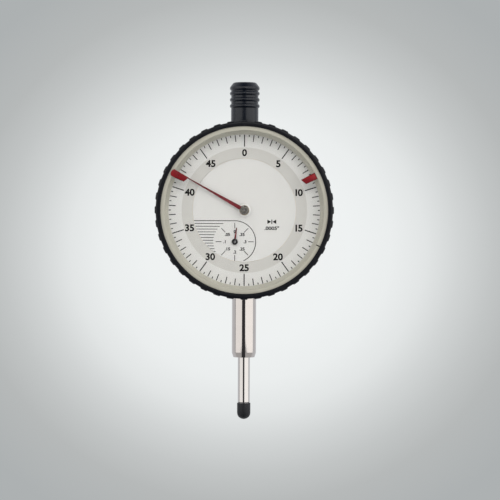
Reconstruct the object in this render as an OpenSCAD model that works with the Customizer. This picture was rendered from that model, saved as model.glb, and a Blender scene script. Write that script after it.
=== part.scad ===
// Dial indicator: a 58 mm plunger gauge with a turning bezel, a turn counter and two tolerance markers.
// Frame: the spindle runs along Z, the dial faces -Y, and the origin is half way down the mounting shank.
// Parts turned about the dial axis are drawn as [radius, depth], and depth grows towards the reader.

/* [Bezel and dial] */
// Diameter of the bezel over its ribs
bezel_d = 58.4; // [57.6:0.1:60]
// Number of ribs round the bezel
rib_count = 40; // [24:4:48]
// Height of a rib
rib_h = 0.32; // [0.2:0.02:0.5]
// Depth of the rear edge of the bezel
bezel_back = 4.9; // [4.8:0.1:5.2]
// Depth of the front edge of the bezel
bezel_front = 14; // [14:0.1:15]
// Radius of the opening at the front of the bezel
bezel_open_r = 27.25; // [27.1:0.05:27.4]
// Thickness of the crystal
crystal_t = 0.8; // [0.6:0.1:0.8]
// Radius of the fixed middle of the dial
dial_disc_r = 16.9; // [16.5:0.1:16.9]

/* [Case] */
// Outer radius of the case behind the bezel
case_r = 27.6; // [27.4:0.1:27.9]
// Radius of the hollow of the case
case_bore_r = 25.4; // [25.4:0.1:25.6]
// Depth of the rear end of the case wall, behind the spindle axis
case_back = -6.8; // [-7.5:0.1:-6.6]
// Thickness of the rear cover
cover_t = 1.5; // [1:0.1:2]

/* [Shank and spindle] */
// Diameter of the mounting shank
shank_d = 8; // [7.9:0.01:8.1]
// Height of the lower end of the shank
shank_bottom = -10.5; // [-12:0.5:-9]
// Height of the dial axis above the origin
dial_z = 38; // [38:0.5:40]
// Diameter of the spindle
spindle_d = 4; // [3.9:0.01:4]
// Height of the lower end of the spindle at rest
spindle_bottom = -25.5; // [-28:0.5:-24.5]
// Radial clearance of a sliding or turning fit
running_fit = 0.03; // [0.02:0.01:0.05]
// Travel of the spindle
travel = 10.5; // [8:0.1:10.5]

/* [Lifting cap] */
// Radius of the plain lower part of the cap
cap_r = 4.53; // [4.4:0.01:4.6]
// Radius over the finger ridges
cap_ridge_r = 4.93; // [4.8:0.01:5]
// Height of the top of the cap at rest
cap_top = 80.4; // [80:0.1:81]

/* [Gear train] */
// Spindle travel for one turn of the long pointer
travel_per_turn = 1.27; // [1.27:0.01:1.27]
// Turns of the long pointer for one turn of the small one
counter_ratio = 8; // [8:1:8]
// Teeth on the rack pinion
rack_pinion_teeth = 16; // [16:1:16]
// Leaves on the centre pinion
centre_leaves = 12; // [12:1:12]
// Teeth on the hairspring wheel
hairspring_teeth = 72; // [60:12:72]
// Place of the counter arbor to the right of the dial axis
counter_x = -3.1; // [-3.1:0.1:-3.1]
// Place of the counter arbor above the dial axis
counter_y = -10.3; // [-10.4:0.1:-10.2]
// Play between meshing teeth, along the pitch line
tooth_play = 0.035; // [0.03:0.005:0.05]

/* [Pointers and markers] */
// Clock angle of the long pointer at rest
pointer_angle = -60.5; // [-180:0.5:180]
// Clock angle of the small pointer at rest
small_pointer_angle = 7.5; // [-180:0.5:180]
// Clock angle of the reading edge of the left marker
left_marker_angle = -59.8; // [-90:0.1:-40]
// Clock angle of the reading edge of the right marker
right_marker_angle = 61.7; // [40:0.1:90]

/* [Hidden] */
$fn = 96;
eps = 0.01;

// Bezel
bezel_r = bezel_d / 2;
rib_pitch = 360 / rib_count;
rim_r = 27;                     // case rim that the bezel turns on
rim_front = 8;                  // front of the case rim
rim_shoulder = bezel_back - 0.3;
ledge_back = rim_front + 0.15;  // back of the bezel's inner ledge
dial_back = 8.6;                // front of that ledge, where the scale ring lies
dial_front = 9;
disc_back = dial_back - 0.1;    // the fixed middle lies a little lower than the scale
window_r = 25.9;                // inner radius of the rings round the crystal
scale_r = 24.8;                 // inner foot of the sloping ring round the scale
crystal_back = 12;
crystal_front = crystal_back + crystal_t;
ring_r = bezel_open_r + 0.55;   // outer radius of the split ring, in its groove
ring_back = 12.8;
ring_front = 13.55;
wire_depth = 6.2;               // depth of the wire that holds the bezel on
wire_r = 0.3;

// Movement
plate_back = 3;
plate_front = 4;
bridge_back = 6.6;
bridge_front = 7.4;
bridge_r = 16;
cock_back = -3.6;
cock_front = -2.6;
wheel_back = 4.4;
wheel_front = 4.9;
pinion_back = 4.25;
pinion_front = 5.05;
pillar_places = [[-12.5, 4.5], [13.5, -5.5], [-3, 14]];
cock_places = [[-7.5, -17], [-7.5, -3.6]];
cover_screw_angles = [45, 135, 225, 315];
cover_screw_r = 23.4;
plate_screw_angles = [0, 120, 240];
plate_screw_r = 24.3;

// Gears, whose two pitch circles touch on the line between their arbors
pressure_angle = 20;
counter_teeth = centre_leaves * counter_ratio;
rack_pitch = travel_per_turn * counter_ratio / rack_pinion_teeth;
rack_pinion_r = rack_pinion_teeth * rack_pitch / (2 * PI);
rack_module = rack_pitch / PI;
arbor_gap = norm([counter_x, counter_y]);
gear_module = 2 * arbor_gap / (counter_teeth + centre_leaves);
counter_r = gear_module * counter_teeth / 2;
centre_r = gear_module * centre_leaves / 2;
hairspring_r = gear_module * hairspring_teeth / 2;
mesh_angle = atan2(-counter_y, -counter_x);
hairspring_angle = mesh_angle - 360 / centre_leaves;
hairspring_x = (centre_r + hairspring_r) * cos(hairspring_angle);
hairspring_y = (centre_r + hairspring_r) * sin(hairspring_angle);
rack_x = counter_x + rack_pinion_r;   // pitch line of the rack, left of the spindle axis
rack_teeth = 24;
rack_low = dial_z + counter_y - travel - 2.2;

// Spindle, shank and cap
spindle_r = spindle_d / 2;
shank_r = shank_d / 2;
shank_top = 15.5;
shank_neck = 9;                 // the shank narrows here to the spigot in the case
shank_neck_r = shank_r - 0.2;
shank_bore_r = 2.9;
bush_bore_r = spindle_r + running_fit;
stud_r = 1.25;
tube_r = 3.4;
tube_low_r = 2.9;
tube_bottom = dial_z + 12;
tube_top = cap_top - 2.9;
cap_bottom = dial_z + 28.2;
cap_roof = tube_top + 0.5;
cap_cavity_r = tube_r + 0.35;
ridge_pitch = 2.06;
ridge_round = 0.75;
arm_low = 36;
arm_high = 39;
rod_x = 7;
rod_r = 0.8;
spring_x = 10.5;
spring_low = 19.1;
spring_r = 1.45;

// Pointers
small_pointer_back = 9.2;
small_pointer_front = 9.4;
pointer_back = 10.2;
pointer_front = 10.4;
marker_back = crystal_front + 0.05;

// ---- Helpers -------------------------------------------------------------------------------

// Stands a drawing up in the dial plane: x to the right, y up, z towards the reader
module on_dial(x = 0, y = 0) {
    translate([x, 0, dial_z + y])
        rotate([90, 0, 0])
            children();
}

// A round bar or ring along z
module ring(outer, inner, back, front) {
    translate([0, 0, back])
        difference() {
            cylinder(r = outer, h = front - back);
            if (inner > 0)
                translate([0, 0, -1])
                    cylinder(r = inner, h = front - back + 2);
        }
}

// A slotted cheese-head screw: head from z = 0 upwards, shaft below
module cheese_screw(head_r, head_h, shaft_r, shaft_l) {
    difference() {
        union() {
            cylinder(r = head_r, h = head_h);
            translate([0, 0, -shaft_l])
                cylinder(r = shaft_r, h = shaft_l);
        }
        translate([-head_r - 1, -0.12, head_h * 0.55])
            cube([2 * head_r + 2, 0.24, head_h]);
    }
}

function polar(r, a) = [r * cos(a), r * sin(a)];
function involute(a) = tan(a) * 180 / PI - a;

// Half the angle of a tooth at radius r, on flanks that follow the involute of the base circle
function half_tooth(r, pitch_r, teeth) =
    let (base = pitch_r * cos(pressure_angle), a = acos(min(1, base / r)))
        90 / teeth - tooth_play / 2 / pitch_r * 180 / PI + involute(pressure_angle) - involute(a);

// Outline of a gear with a tooth centred on the given angle
function gear_outline(teeth, pitch_r, addendum, dedendum, phase, steps = 3) =
    let (
        base = pitch_r * cos(pressure_angle),
        low = pitch_r - dedendum,
        foot = max(low, base),
        flank = concat(
            low < base ? [low] : [],
            [for (i = [0 : steps - 1]) foot + (pitch_r + addendum - foot) * i / (steps - 1)]
        ),
        last = len(flank) - 1
    )
        [for (t = [0 : teeth - 1], i = [0 : 2 * last + 1])
            let (
                rising = i <= last,
                r = flank[rising ? i : 2 * last + 1 - i],
                half = half_tooth(max(r, base), pitch_r, teeth)
            )
                polar(r, phase + t * 360 / teeth + (rising ? -half : half))];

// Ribbon along a spiral from inner to outer radius
function spiral(inner, outer, turns, angle, steps) =
    [for (i = [0 : steps]) polar(inner + (outer - inner) * i / steps, angle + turns * 360 * i / steps)];

// ---- Case ----------------------------------------------------------------------------------

module case_body() {
    color([0.13, 0.13, 0.15])
        difference() {
            union() {
                on_dial()
                    rotate_extrude()
                        polygon([
                            [case_bore_r, case_back], [case_r, case_back], [case_r, rim_shoulder - 0.6],
                            [case_r - 0.6, rim_shoulder], [rim_r, rim_shoulder], [rim_r, wire_depth - 0.45],
                            [rim_r - 0.4, wire_depth - 0.45], [rim_r - 0.4, wire_depth + 0.45],
                            [rim_r, wire_depth + 0.45], [rim_r, rim_front - 0.3], [rim_r - 0.3, rim_front],
                            [case_bore_r, rim_front], [case_bore_r, plate_back], [23.2, plate_back],
                            [23.2, plate_back - 1], [case_bore_r, plate_back - 1]
                        ]);
                for (a = cover_screw_angles)
                    on_dial(cover_screw_r * cos(a), cover_screw_r * sin(a))
                        ring(2.2, 0, case_back, plate_back - 1);
                intersection() {
                    cylinder(r = 5.6, h = shank_top);
                    on_dial()
                        ring(case_bore_r + 0.5, 0, case_back, rim_front);
                }
            }
            for (a = cover_screw_angles)
                on_dial(cover_screw_r * cos(a), cover_screw_r * sin(a))
                    ring(1, 0, case_back - 1, -2.3);
            for (a = plate_screw_angles)
                on_dial(plate_screw_r * cos(a), plate_screw_r * sin(a))
                    ring(0.5, 0, plate_back - 2, plate_front);
            cylinder(r = shank_neck_r, h = shank_top + 1);
            translate([0, 0, dial_z])
                cylinder(r = tube_r, h = 40);
            // Room for the guide tube behind the movement plate
            translate([-6.5, -plate_back - eps, dial_z + 20])
                cube([13, 1 + 2 * eps, 5.3]);
        }
}

module rear_cover() {
    color([0.16, 0.16, 0.18])
        difference() {
            on_dial()
                rotate_extrude()
                    polygon([
                        [0, case_back - 0.2 - cover_t], [case_r - 0.7, case_back - 0.2 - cover_t],
                        [case_r, case_back + 0.5 - cover_t], [case_r, case_back - 0.2], [0, case_back - 0.2]
                    ]);
            for (a = cover_screw_angles)
                on_dial(cover_screw_r * cos(a), cover_screw_r * sin(a))
                    translate([0, 0, case_back - 0.2 - cover_t])
                        rotate_extrude()
                            polygon([[0, -1], [1.9, -1], [1.9, 0.2], [1, 1.1], [1, cover_t + 1], [0, cover_t + 1]]);
        }
}

module cover_gasket() {
    color([0.1, 0.1, 0.1])
        on_dial()
            ring(case_r - 0.3, case_bore_r + 0.3, case_back - 0.2, case_back);
}

module cover_screws() {
    color([0.7, 0.7, 0.72])
        for (a = cover_screw_angles)
            on_dial(cover_screw_r * cos(a), cover_screw_r * sin(a))
                translate([0, 0, case_back - 0.2 - cover_t])
                    difference() {
                        rotate_extrude()
                            polygon([[0, 0], [1.9, 0], [1.9, 0.2], [1, 1.1], [1, 5.9], [0, 5.9]]);
                        for (turn = [0, 90])
                            rotate([0, 0, turn])
                                translate([-1.1, -0.2, -1])
                                    cube([2.2, 0.4, 1.6]);
                    }
}

module cap_stop_washer() {
    color([0.12, 0.12, 0.12])
        ring(cap_r - 0.1, tube_r, dial_z + case_r + 0.05, cap_bottom - 0.02);
}

// ---- Shank and guides ----------------------------------------------------------------------

module mounting_shank() {
    color([0.86, 0.83, 0.79])
        rotate_extrude()
            polygon([
                [shank_bore_r, shank_bottom], [shank_r - 0.45, shank_bottom], [shank_r, shank_bottom + 1.5],
                [shank_r, shank_neck], [shank_neck_r, shank_neck], [shank_neck_r, shank_top],
                [shank_bore_r, shank_top]
            ]);
}

module lower_bush() {
    color([0.78, 0.62, 0.35])
        ring(shank_bore_r, bush_bore_r, shank_bottom + 1.1, shank_top - 0.5);
}

module shank_seal() {
    color([0.15, 0.15, 0.15])
        ring(shank_bore_r, spindle_r + 0.05, shank_bottom + 0.2, shank_bottom + 1.1);
}

module upper_guide_tube() {
    color([0.8, 0.8, 0.8])
        rotate_extrude()
            polygon([
                [spindle_r + 0.1, tube_bottom], [tube_low_r, tube_bottom], [tube_low_r, dial_z + 23.4],
                [4.6, dial_z + 23.4], [4.6, dial_z + 24.8], [tube_r, dial_z + 24.8], [tube_r, tube_top - 0.3],
                [tube_r - 0.3, tube_top], [2.6, tube_top], [2.6, dial_z + 28], [spindle_r + 0.1, dial_z + 28]
            ]);
}

module upper_bush() {
    color([0.78, 0.62, 0.35])
        ring(2.6, bush_bore_r, dial_z + 28, tube_top - 0.2);
}

module guide_rod() {
    color([0.8, 0.8, 0.82])
        translate([rod_x, 0, 0])
            ring(rod_r, 0, dial_z - 16, dial_z + 20);
}

module guide_rod_holders() {
    color([0.78, 0.62, 0.35])
        for (low = [dial_z - 16, dial_z + 17.5])
            difference() {
                translate([rod_x - 1.4, -plate_back, low])
                    cube([2.8, plate_back + 1.4, 2.5]);
                translate([rod_x, 0, low - 1])
                    cylinder(r = rod_r, h = 5);
            }
}

// ---- Movement ------------------------------------------------------------------------------

module movement_plate() {
    color([0.8, 0.66, 0.38])
        on_dial()
            difference() {
                ring(case_bore_r - 0.1, 0, plate_back, plate_front);
                // Room for the shank below and the guide tube above
                translate([-6.5, -26, plate_back - 1])
                    cube([13, 5, 3]);
                translate([-6.5, 20, plate_back - 1])
                    cube([13, 6, 3]);
                for (a = plate_screw_angles)
                    translate(polar(plate_screw_r, a))
                        ring(0.5, 0, plate_back - 1, plate_front + 1);
                translate([counter_x, counter_y])
                    ring(1.4, 0, plate_back - 1, plate_front + 1);
                ring(0.9, 0, plate_back - 1, plate_front + 1);
                translate([hairspring_x, hairspring_y])
                    ring(0.9, 0, plate_back - 1, plate_front + 1);
                translate([-15, 12])
                    ring(4, 0, plate_back - 1, plate_front + 1);
                translate([15, -14])
                    ring(3.5, 0, plate_back - 1, plate_front + 1);
            }
}

module plate_screws() {
    color([0.75, 0.75, 0.78])
        for (a = plate_screw_angles)
            on_dial(plate_screw_r * cos(a), plate_screw_r * sin(a))
                translate([0, 0, plate_front])
                    cheese_screw(1, 0.6, 0.5, 2.4);
}

module front_bridge() {
    color([0.8, 0.66, 0.38])
        on_dial()
            difference() {
                ring(bridge_r, 0, bridge_back, bridge_front);
                for (place = [[0, 0], [counter_x, counter_y], [hairspring_x, hairspring_y]])
                    translate(place)
                        ring(0.9, 0, bridge_back - 1, bridge_front + 1);
                for (place = pillar_places)
                    translate(place)
                        ring(0.5, 0, bridge_back - 1, bridge_front + 1);
                for (side = [-1, 1])
                    translate([side * 11.8, 0])
                        ring(0.5, 0, bridge_back - 1, bridge_front + 1);
                translate([-8, -3])
                    ring(2.6, 0, bridge_back - 1, bridge_front + 1);
                translate([5, -12])
                    ring(2.2, 0, bridge_back - 1, bridge_front + 1);
            }
}

module bridge_pillars() {
    color([0.78, 0.62, 0.35])
        for (place = pillar_places)
            on_dial(place[0], place[1])
                difference() {
                    ring(1.2, 0, plate_front, bridge_back);
                    ring(0.5, 0, bridge_back - 2, bridge_back + 1);
                }
}

module bridge_screws() {
    color([0.75, 0.75, 0.78])
        for (place = pillar_places)
            on_dial(place[0], place[1])
                translate([0, 0, bridge_front])
                    cheese_screw(1.1, 0.6, 0.5, 2.6);
}

module rear_cock() {
    color([0.8, 0.66, 0.38])
        on_dial()
            difference() {
                union() {
                    for (place = cock_places)
                        translate(place)
                            ring(2.2, 0, cock_back, cock_front);
                    translate([cock_places[0][0] - 2.2, cock_places[0][1], cock_back])
                        cube([4.4, cock_places[1][1] - cock_places[0][1], cock_front - cock_back]);
                    translate([cock_places[0][0], counter_y - 1.8, cock_back])
                        cube([counter_x - cock_places[0][0], 3.6, cock_front - cock_back]);
                    translate([counter_x, counter_y])
                        ring(1.8, 0, cock_back, cock_front);
                }
                translate([counter_x, counter_y])
                    ring(0.9, 0, cock_back - 1, cock_front + 1);
                for (place = cock_places)
                    translate(place)
                        ring(0.5, 0, cock_back - 1, cock_front + 1);
            }
}

module cock_posts() {
    color([0.78, 0.62, 0.35])
        for (place = cock_places)
            on_dial(place[0], place[1])
                difference() {
                    ring(1.3, 0, cock_front, plate_back);
                    ring(0.5, 0, cock_front - 1, cock_front + 2);
                }
}

module cock_screws() {
    color([0.75, 0.75, 0.78])
        for (place = cock_places)
            on_dial(place[0], place[1])
                translate([0, 0, cock_back])
                    rotate([180, 0, 0])
                        cheese_screw(1.1, 0.6, 0.5, 2.6);
}

module jewel_bearings() {
    color([0.75, 0.1, 0.25])
        union() {
            on_dial() {
                ring(0.9, 0.25 + running_fit, plate_back, plate_front);
                ring(0.9, 0.4 + running_fit, bridge_back, bridge_front);
            }
            on_dial(counter_x, counter_y) {
                ring(0.9, 0.3 + running_fit, cock_back, cock_front);
                ring(0.9, 0.35 + running_fit, bridge_back, bridge_front);
            }
            on_dial(hairspring_x, hairspring_y) {
                ring(0.9, 0.25 + running_fit, plate_back, plate_front);
                ring(0.9, 0.25 + running_fit, bridge_back, bridge_front);
            }
        }
}

module spring_post() {
    color([0.75, 0.75, 0.78])
        union() {
            on_dial(spring_x, spring_low - 0.6 - dial_z)
                ring(0.6, 0, -0.6, plate_back);
            translate([spring_x, 0, 0])
                ring(0.5, 0, spring_low - 0.6, spring_low + 1.2);
        }
}

module measuring_spring() {
    color([0.8, 0.8, 0.84])
        translate([spring_x, 0, 0])
            ring(spring_r, spring_r - 0.3, spring_low, arm_low + 0.38);
}

module hairspring() {
    inner = spiral(1.05, 4.3, 5, 20, 120);
    outer = spiral(1.15, 4.4, 5, 20, 120);
    color([0.45, 0.5, 0.65])
        on_dial(hairspring_x, hairspring_y)
            translate([0, 0, 5.4])
                linear_extrude(0.4)
                    polygon(concat(outer, [for (i = [120 : -1 : 0]) inner[i]]));
}

module hairspring_stud() {
    color([0.8, 0.66, 0.38])
        on_dial(hairspring_x, hairspring_y)
            translate(polar(4.9, 20))
                ring(0.5, 0, 5.3, bridge_back);
}

// ---- Bezel and dial ------------------------------------------------------------------------

module bezel_retaining_spring() {
    color([0.8, 0.8, 0.84])
        on_dial()
            rotate([0, 0, 105])
                rotate_extrude(angle = 330)
                    translate([rim_r + 0.03, wire_depth])
                        circle(r = wire_r, $fn = 24);
}

module bezel_ring() {
    color([0.12, 0.12, 0.15])
        on_dial()
            difference() {
                rotate_extrude()
                    polygon([
                        [rim_r + 0.06, bezel_back], [bezel_r - 0.7, bezel_back], [bezel_r, bezel_back + 0.7],
                        [bezel_r, bezel_front - 0.8], [bezel_r - 0.25, bezel_front - 0.25],
                        [bezel_r - 0.8, bezel_front], [bezel_open_r, bezel_front], [bezel_open_r, ring_front],
                        [ring_r + 0.05, ring_front], [ring_r + 0.05, ring_back], [bezel_open_r, ring_back],
                        [bezel_open_r, dial_back], [window_r, dial_back], [window_r, ledge_back],
                        [rim_r + 0.06, ledge_back], [rim_r + 0.06, wire_depth + 0.45],
                        [rim_r + 0.5, wire_depth + 0.45], [rim_r + 0.5, wire_depth - 0.45],
                        [rim_r + 0.06, wire_depth - 0.45]
                    ]);
                for (i = [0 : rib_count - 1])
                    rotate([0, 0, (i + 0.5) * rib_pitch])
                        translate([bezel_r - rib_h, -bezel_r * sin(rib_pitch / 4), bezel_back - 1])
                            cube([2, 2 * bezel_r * sin(rib_pitch / 4), bezel_front - bezel_back + 2]);
            }
}

module scale_ring() {
    color([0.85, 0.85, 0.83])
        on_dial()
            ring(bezel_open_r - 0.05, dial_disc_r + 0.05, dial_back, dial_front);
}

module spacer_ring() {
    color([0.75, 0.73, 0.67])
        on_dial()
            rotate_extrude()
                polygon([
                    [bezel_open_r - 0.05, dial_front], [bezel_open_r - 0.05, crystal_back - 0.2],
                    [window_r, crystal_back - 0.2], [scale_r, dial_front + 0.2], [scale_r, dial_front]
                ]);
}

module crystal_gasket() {
    color([0.7, 0.68, 0.62])
        on_dial()
            ring(bezel_open_r - 0.05, window_r + 0.1, crystal_back - 0.2, crystal_back);
}

module crystal() {
    color([0.9, 0.95, 1, 0.25])
        on_dial()
            ring(bezel_open_r - 0.05, 0, crystal_back, crystal_front);
}

module crystal_ring() {
    color([0.74, 0.73, 0.66])
        on_dial()
            difference() {
                rotate_extrude()
                    polygon([
                        [rim_r, ring_back], [ring_r, ring_back], [ring_r, ring_front],
                        [window_r + 0.15, ring_front], [window_r, ring_front - 0.15],
                        [window_r, ring_back + 0.4], [rim_r, ring_back + 0.4]
                    ]);
                rotate([0, 0, 90 - 116.4])
                    translate([window_r - 1, -0.3, ring_back - 1])
                        cube([4, 0.6, 3]);
            }
}

module dial_seat() {
    color([0.8, 0.66, 0.38])
        on_dial()
            ring(7, 4.6, bridge_front, disc_back);
}

module dial_disc() {
    color([0.87, 0.87, 0.85])
        on_dial()
            difference() {
                ring(dial_disc_r, 2, disc_back, dial_front - 0.1);
                translate([counter_x, counter_y])
                    ring(0.7, 0, dial_back - 1, dial_front + 1);
            }
}

module dial_feet() {
    color([0.78, 0.5, 0.3])
        for (side = [-1, 1])
            on_dial(side * 11.8, 0)
                ring(0.5, 0, bridge_back + 0.1, disc_back);
}

// Flat outline of a marker: the reading edge is the line x = 0, and the body lies to its right
module marker_outline(reach) {
    intersection() {
        polygon([[0, 20.9], [2, 21.7], [2.45, 28], [0, 28]]);
        circle(r = reach);
    }
}

// Foot under the split ring and body over the crystal
module marker_body() {
    translate([0, 0, marker_back])
        linear_extrude(0.25)
            marker_outline(rim_r - 0.15);
    translate([0, 0, marker_back])
        linear_extrude(0.75)
            marker_outline(window_r - 0.15);
}

module marker_left() {
    color([0.65, 0.1, 0.17])
        on_dial()
            rotate([0, 0, -left_marker_angle])
                mirror([1, 0, 0])
                    union() {
                        marker_body();
                        // Head that laps over the split ring, with a round end
                        translate([0, 0, marker_back + 0.75])
                            linear_extrude(0.3)
                                intersection() {
                                    translate([0, 24.4])
                                        square([2.35, 3]);
                                    translate([1.15, 25.3])
                                        circle(r = 1.55);
                                }
                    }
}

module marker_right() {
    color([0.65, 0.1, 0.17])
        on_dial()
            rotate([0, 0, -right_marker_angle])
                marker_body();
}

// ---- Spindle -------------------------------------------------------------------------------

// Straight-sided rack teeth, cut into the left side of a bar along z
module rack_cut() {
    addendum = 0.9 * rack_module;
    dedendum = 1.2 * rack_module;
    gap = rack_pitch / 2 + tooth_play / 2;
    lean = tan(pressure_angle);
    translate([0, 2.5, 0])
        rotate([90, 0, 0])
            linear_extrude(5) {
                translate([-3, rack_low])
                    square([3 + rack_x - addendum, rack_teeth * rack_pitch]);
                for (i = [0 : rack_teeth - 1])
                    translate([rack_x, dial_z + counter_y + (i - rack_teeth + 4) * rack_pitch])
                        polygon([
                            [-addendum - 0.1, -gap / 2 - (addendum + 0.1) * lean],
                            [dedendum, -gap / 2 + dedendum * lean],
                            [dedendum, gap / 2 - dedendum * lean],
                            [-addendum - 0.1, gap / 2 + (addendum + 0.1) * lean]
                        ]);
            }
}

module spindle() {
    color([0.85, 0.84, 0.82])
        difference() {
            rotate_extrude()
                polygon([
                    [0, spindle_bottom], [spindle_r - 0.2, spindle_bottom], [spindle_r, spindle_bottom + 0.2],
                    [spindle_r, cap_roof], [stud_r, cap_roof], [stud_r, cap_roof + 1.5], [0, cap_roof + 1.5]
                ]);
            translate([0, 0, spindle_bottom - 1])
                cylinder(r = stud_r, h = 5);
            rack_cut();
        }
}

module contact_point() {
    color([0.7, 0.7, 0.72])
        difference() {
            rotate_extrude()
                polygon([
                    [0, spindle_bottom - 3], [1.4, spindle_bottom - 3], [1.8, spindle_bottom - 2.2],
                    [1.8, spindle_bottom], [stud_r, spindle_bottom], [stud_r, spindle_bottom + 3.8],
                    [0, spindle_bottom + 3.8]
                ]);
            translate([0, 0, spindle_bottom - 3.2])
                sphere(r = 1.5);
        }
}

module contact_ball() {
    color([0.35, 0.36, 0.38])
        translate([0, 0, spindle_bottom - 3.2])
            sphere(r = 1.5);
}

module tip_guard() {
    color([0.16, 0.17, 0.2])
        difference() {
            rotate_extrude()
                polygon([
                    [0, spindle_bottom - 5.48], [0.6, spindle_bottom - 5.37], [1.25, spindle_bottom - 5.13],
                    [1.8, spindle_bottom - 4.7], [2.1, spindle_bottom - 4.15], [2.2, spindle_bottom - 3.5],
                    [2.2, spindle_bottom - 0.1], [0, spindle_bottom - 0.1]
                ]);
            translate([0, 0, spindle_bottom - 2.9])
                cylinder(r = 1.8, h = 4);
            translate([0, 0, spindle_bottom - 4.75])
                cylinder(r = 1.55, h = 3);
        }
}

module guide_arm() {
    color([0.78, 0.62, 0.35])
        difference() {
            union() {
                cylinder_between(tube_low_r, arm_low, arm_high);
                translate([0, -1, arm_low + 0.4])
                    cube([spring_x + 1.1, 2, arm_high - arm_low - 0.8]);
                translate([rod_x, 0, 0])
                    cylinder_between(1.7, arm_low + 0.4, arm_high - 0.4);
                translate([spring_x, 0, 0])
                    cylinder_between(0.5, arm_low - 0.8, arm_low + 1);
            }
            cylinder_between(spindle_r, arm_low - 1, arm_high + 1);
            translate([rod_x, 0, 0])
                cylinder_between(rod_r + 0.05, arm_low - 1, arm_high + 1);
            translate([0, 0, (arm_low + arm_high) / 2])
                rotate([-90, 0, 0])
                    cylinder_between(0.6, 0, 4);
        }
}

module cylinder_between(r, low, high) {
    translate([0, 0, low])
        cylinder(r = r, h = high - low);
}

module guide_arm_screw() {
    color([0.6, 0.6, 0.63])
        translate([0, 0, (arm_low + arm_high) / 2])
            rotate([-90, 0, 0])
                difference() {
                    cylinder_between(0.6, spindle_r + 0.02, tube_low_r);
                    translate([-1, -0.1, tube_low_r - 0.3])
                        cube([2, 0.2, 1]);
                }
}

module lifting_cap() {
    color([0.17, 0.18, 0.2])
        difference() {
            union() {
                rotate_extrude()
                    polygon([
                        [0, cap_bottom], [cap_r - 0.2, cap_bottom], [cap_r, cap_bottom + 0.2],
                        [cap_r, cap_top - 9.2], [cap_r - 0.03, cap_top - 9.2], [cap_r - 0.03, cap_top - 3.1],
                        [cap_ridge_r - 0.18, cap_top - 2.9], [cap_ridge_r, cap_top - 2.5],
                        [cap_ridge_r, cap_top - 2.2], [cap_ridge_r - 0.1, cap_top - 1.8],
                        [cap_ridge_r - 1.35, cap_top - 0.3], [cap_ridge_r - 1.75, cap_top - 0.12],
                        [0, cap_top]
                    ]);
                for (i = [1 : 3])
                    translate([0, 0, cap_top - 2 - i * ridge_pitch])
                        rotate_extrude()
                            translate([cap_ridge_r - ridge_round, 0])
                                circle(r = ridge_round, $fn = 24);
            }
            cylinder_between(cap_cavity_r, cap_bottom - 1, cap_roof);
            cylinder_between(2.6, cap_roof - 1, cap_roof + 1.7);
        }
}

module cap_insert() {
    color([0.8, 0.66, 0.38])
        ring(2.6, stud_r, cap_roof, cap_roof + 1.7);
}

// ---- Counter arbor -------------------------------------------------------------------------

module rack_pinion_arbor() {
    color([0.75, 0.75, 0.78])
        on_dial(counter_x, counter_y)
            union() {
                rotate_extrude()
                    polygon([
                        [0, cock_back + 0.1], [0.3, cock_back + 0.1], [0.3, cock_front + 0.1],
                        [0.8, cock_front + 0.1], [0.8, wheel_back - 0.1], [1.2, wheel_back - 0.1],
                        [1.2, wheel_back], [1, wheel_back], [1, wheel_front], [0.7, wheel_front],
                        [0.7, bridge_back - 0.1], [0.35, bridge_back - 0.1], [0.35, 9.85], [0, 9.85]
                    ]);
                translate([0, 0, -1.1])
                    linear_extrude(2.2)
                        polygon(gear_outline(rack_pinion_teeth, rack_pinion_r, 0.9 * rack_module,
                            1.2 * rack_module, 0));
            }
}

// Wheel blank with round windows between its spokes
module crossed_wheel(teeth, pitch_r, phase, bore_r, window, windows) {
    translate([0, 0, wheel_back])
        difference() {
            linear_extrude(wheel_front - wheel_back)
                polygon(gear_outline(teeth, pitch_r, 0.7 * gear_module, 1.25 * gear_module, phase));
            translate([0, 0, -1])
                cylinder(r = bore_r, h = 3);
            for (i = [0 : windows - 1])
                rotate([0, 0, (i + 0.5) * 360 / windows])
                    translate([(bore_r + pitch_r) / 2, 0, -1])
                        cylinder(r = window, h = 3);
        }
}

module counter_wheel() {
    color([0.82, 0.68, 0.36])
        on_dial(counter_x, counter_y)
            crossed_wheel(counter_teeth, counter_r, mesh_angle, 1, 2.8, 5);
}

module small_pointer_hub() {
    color([0.1, 0.1, 0.1])
        on_dial(counter_x, counter_y)
            rotate_extrude()
                polygon([
                    [0.35, dial_front - 0.05], [0.6, dial_front - 0.05], [0.6, small_pointer_front],
                    [1, small_pointer_front], [1, small_pointer_front + 0.3], [0.8, small_pointer_front + 0.4],
                    [0.35, small_pointer_front + 0.4]
                ]);
}

module small_pointer() {
    color([0.6, 0.08, 0.15])
        on_dial(counter_x, counter_y)
            rotate([0, 0, -small_pointer_angle])
                translate([0, 0, small_pointer_back])
                    linear_extrude(small_pointer_front - small_pointer_back)
                        difference() {
                            union() {
                                circle(r = 0.95);
                                polygon([[-0.3, 0], [0.3, 0], [0.12, 4.65], [-0.12, 4.65]]);
                            }
                            circle(r = 0.6);
                        }
}

// ---- Centre arbor --------------------------------------------------------------------------

module centre_arbor() {
    color([0.75, 0.75, 0.78])
        on_dial()
            union() {
                rotate_extrude()
                    polygon([
                        [0, plate_back + 0.1], [0.25, plate_back + 0.1], [0.25, plate_front + 0.1],
                        [0.7, plate_front + 0.1], [0.7, bridge_back - 0.1], [0.4, bridge_back - 0.1],
                        [0.4, 11.2], [0, 11.2]
                    ]);
                translate([0, 0, pinion_back])
                    linear_extrude(pinion_front - pinion_back)
                        polygon(gear_outline(centre_leaves, centre_r, gear_module, 1.05 * gear_module,
                            mesh_angle + 180 / centre_leaves));
            }
}

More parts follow.
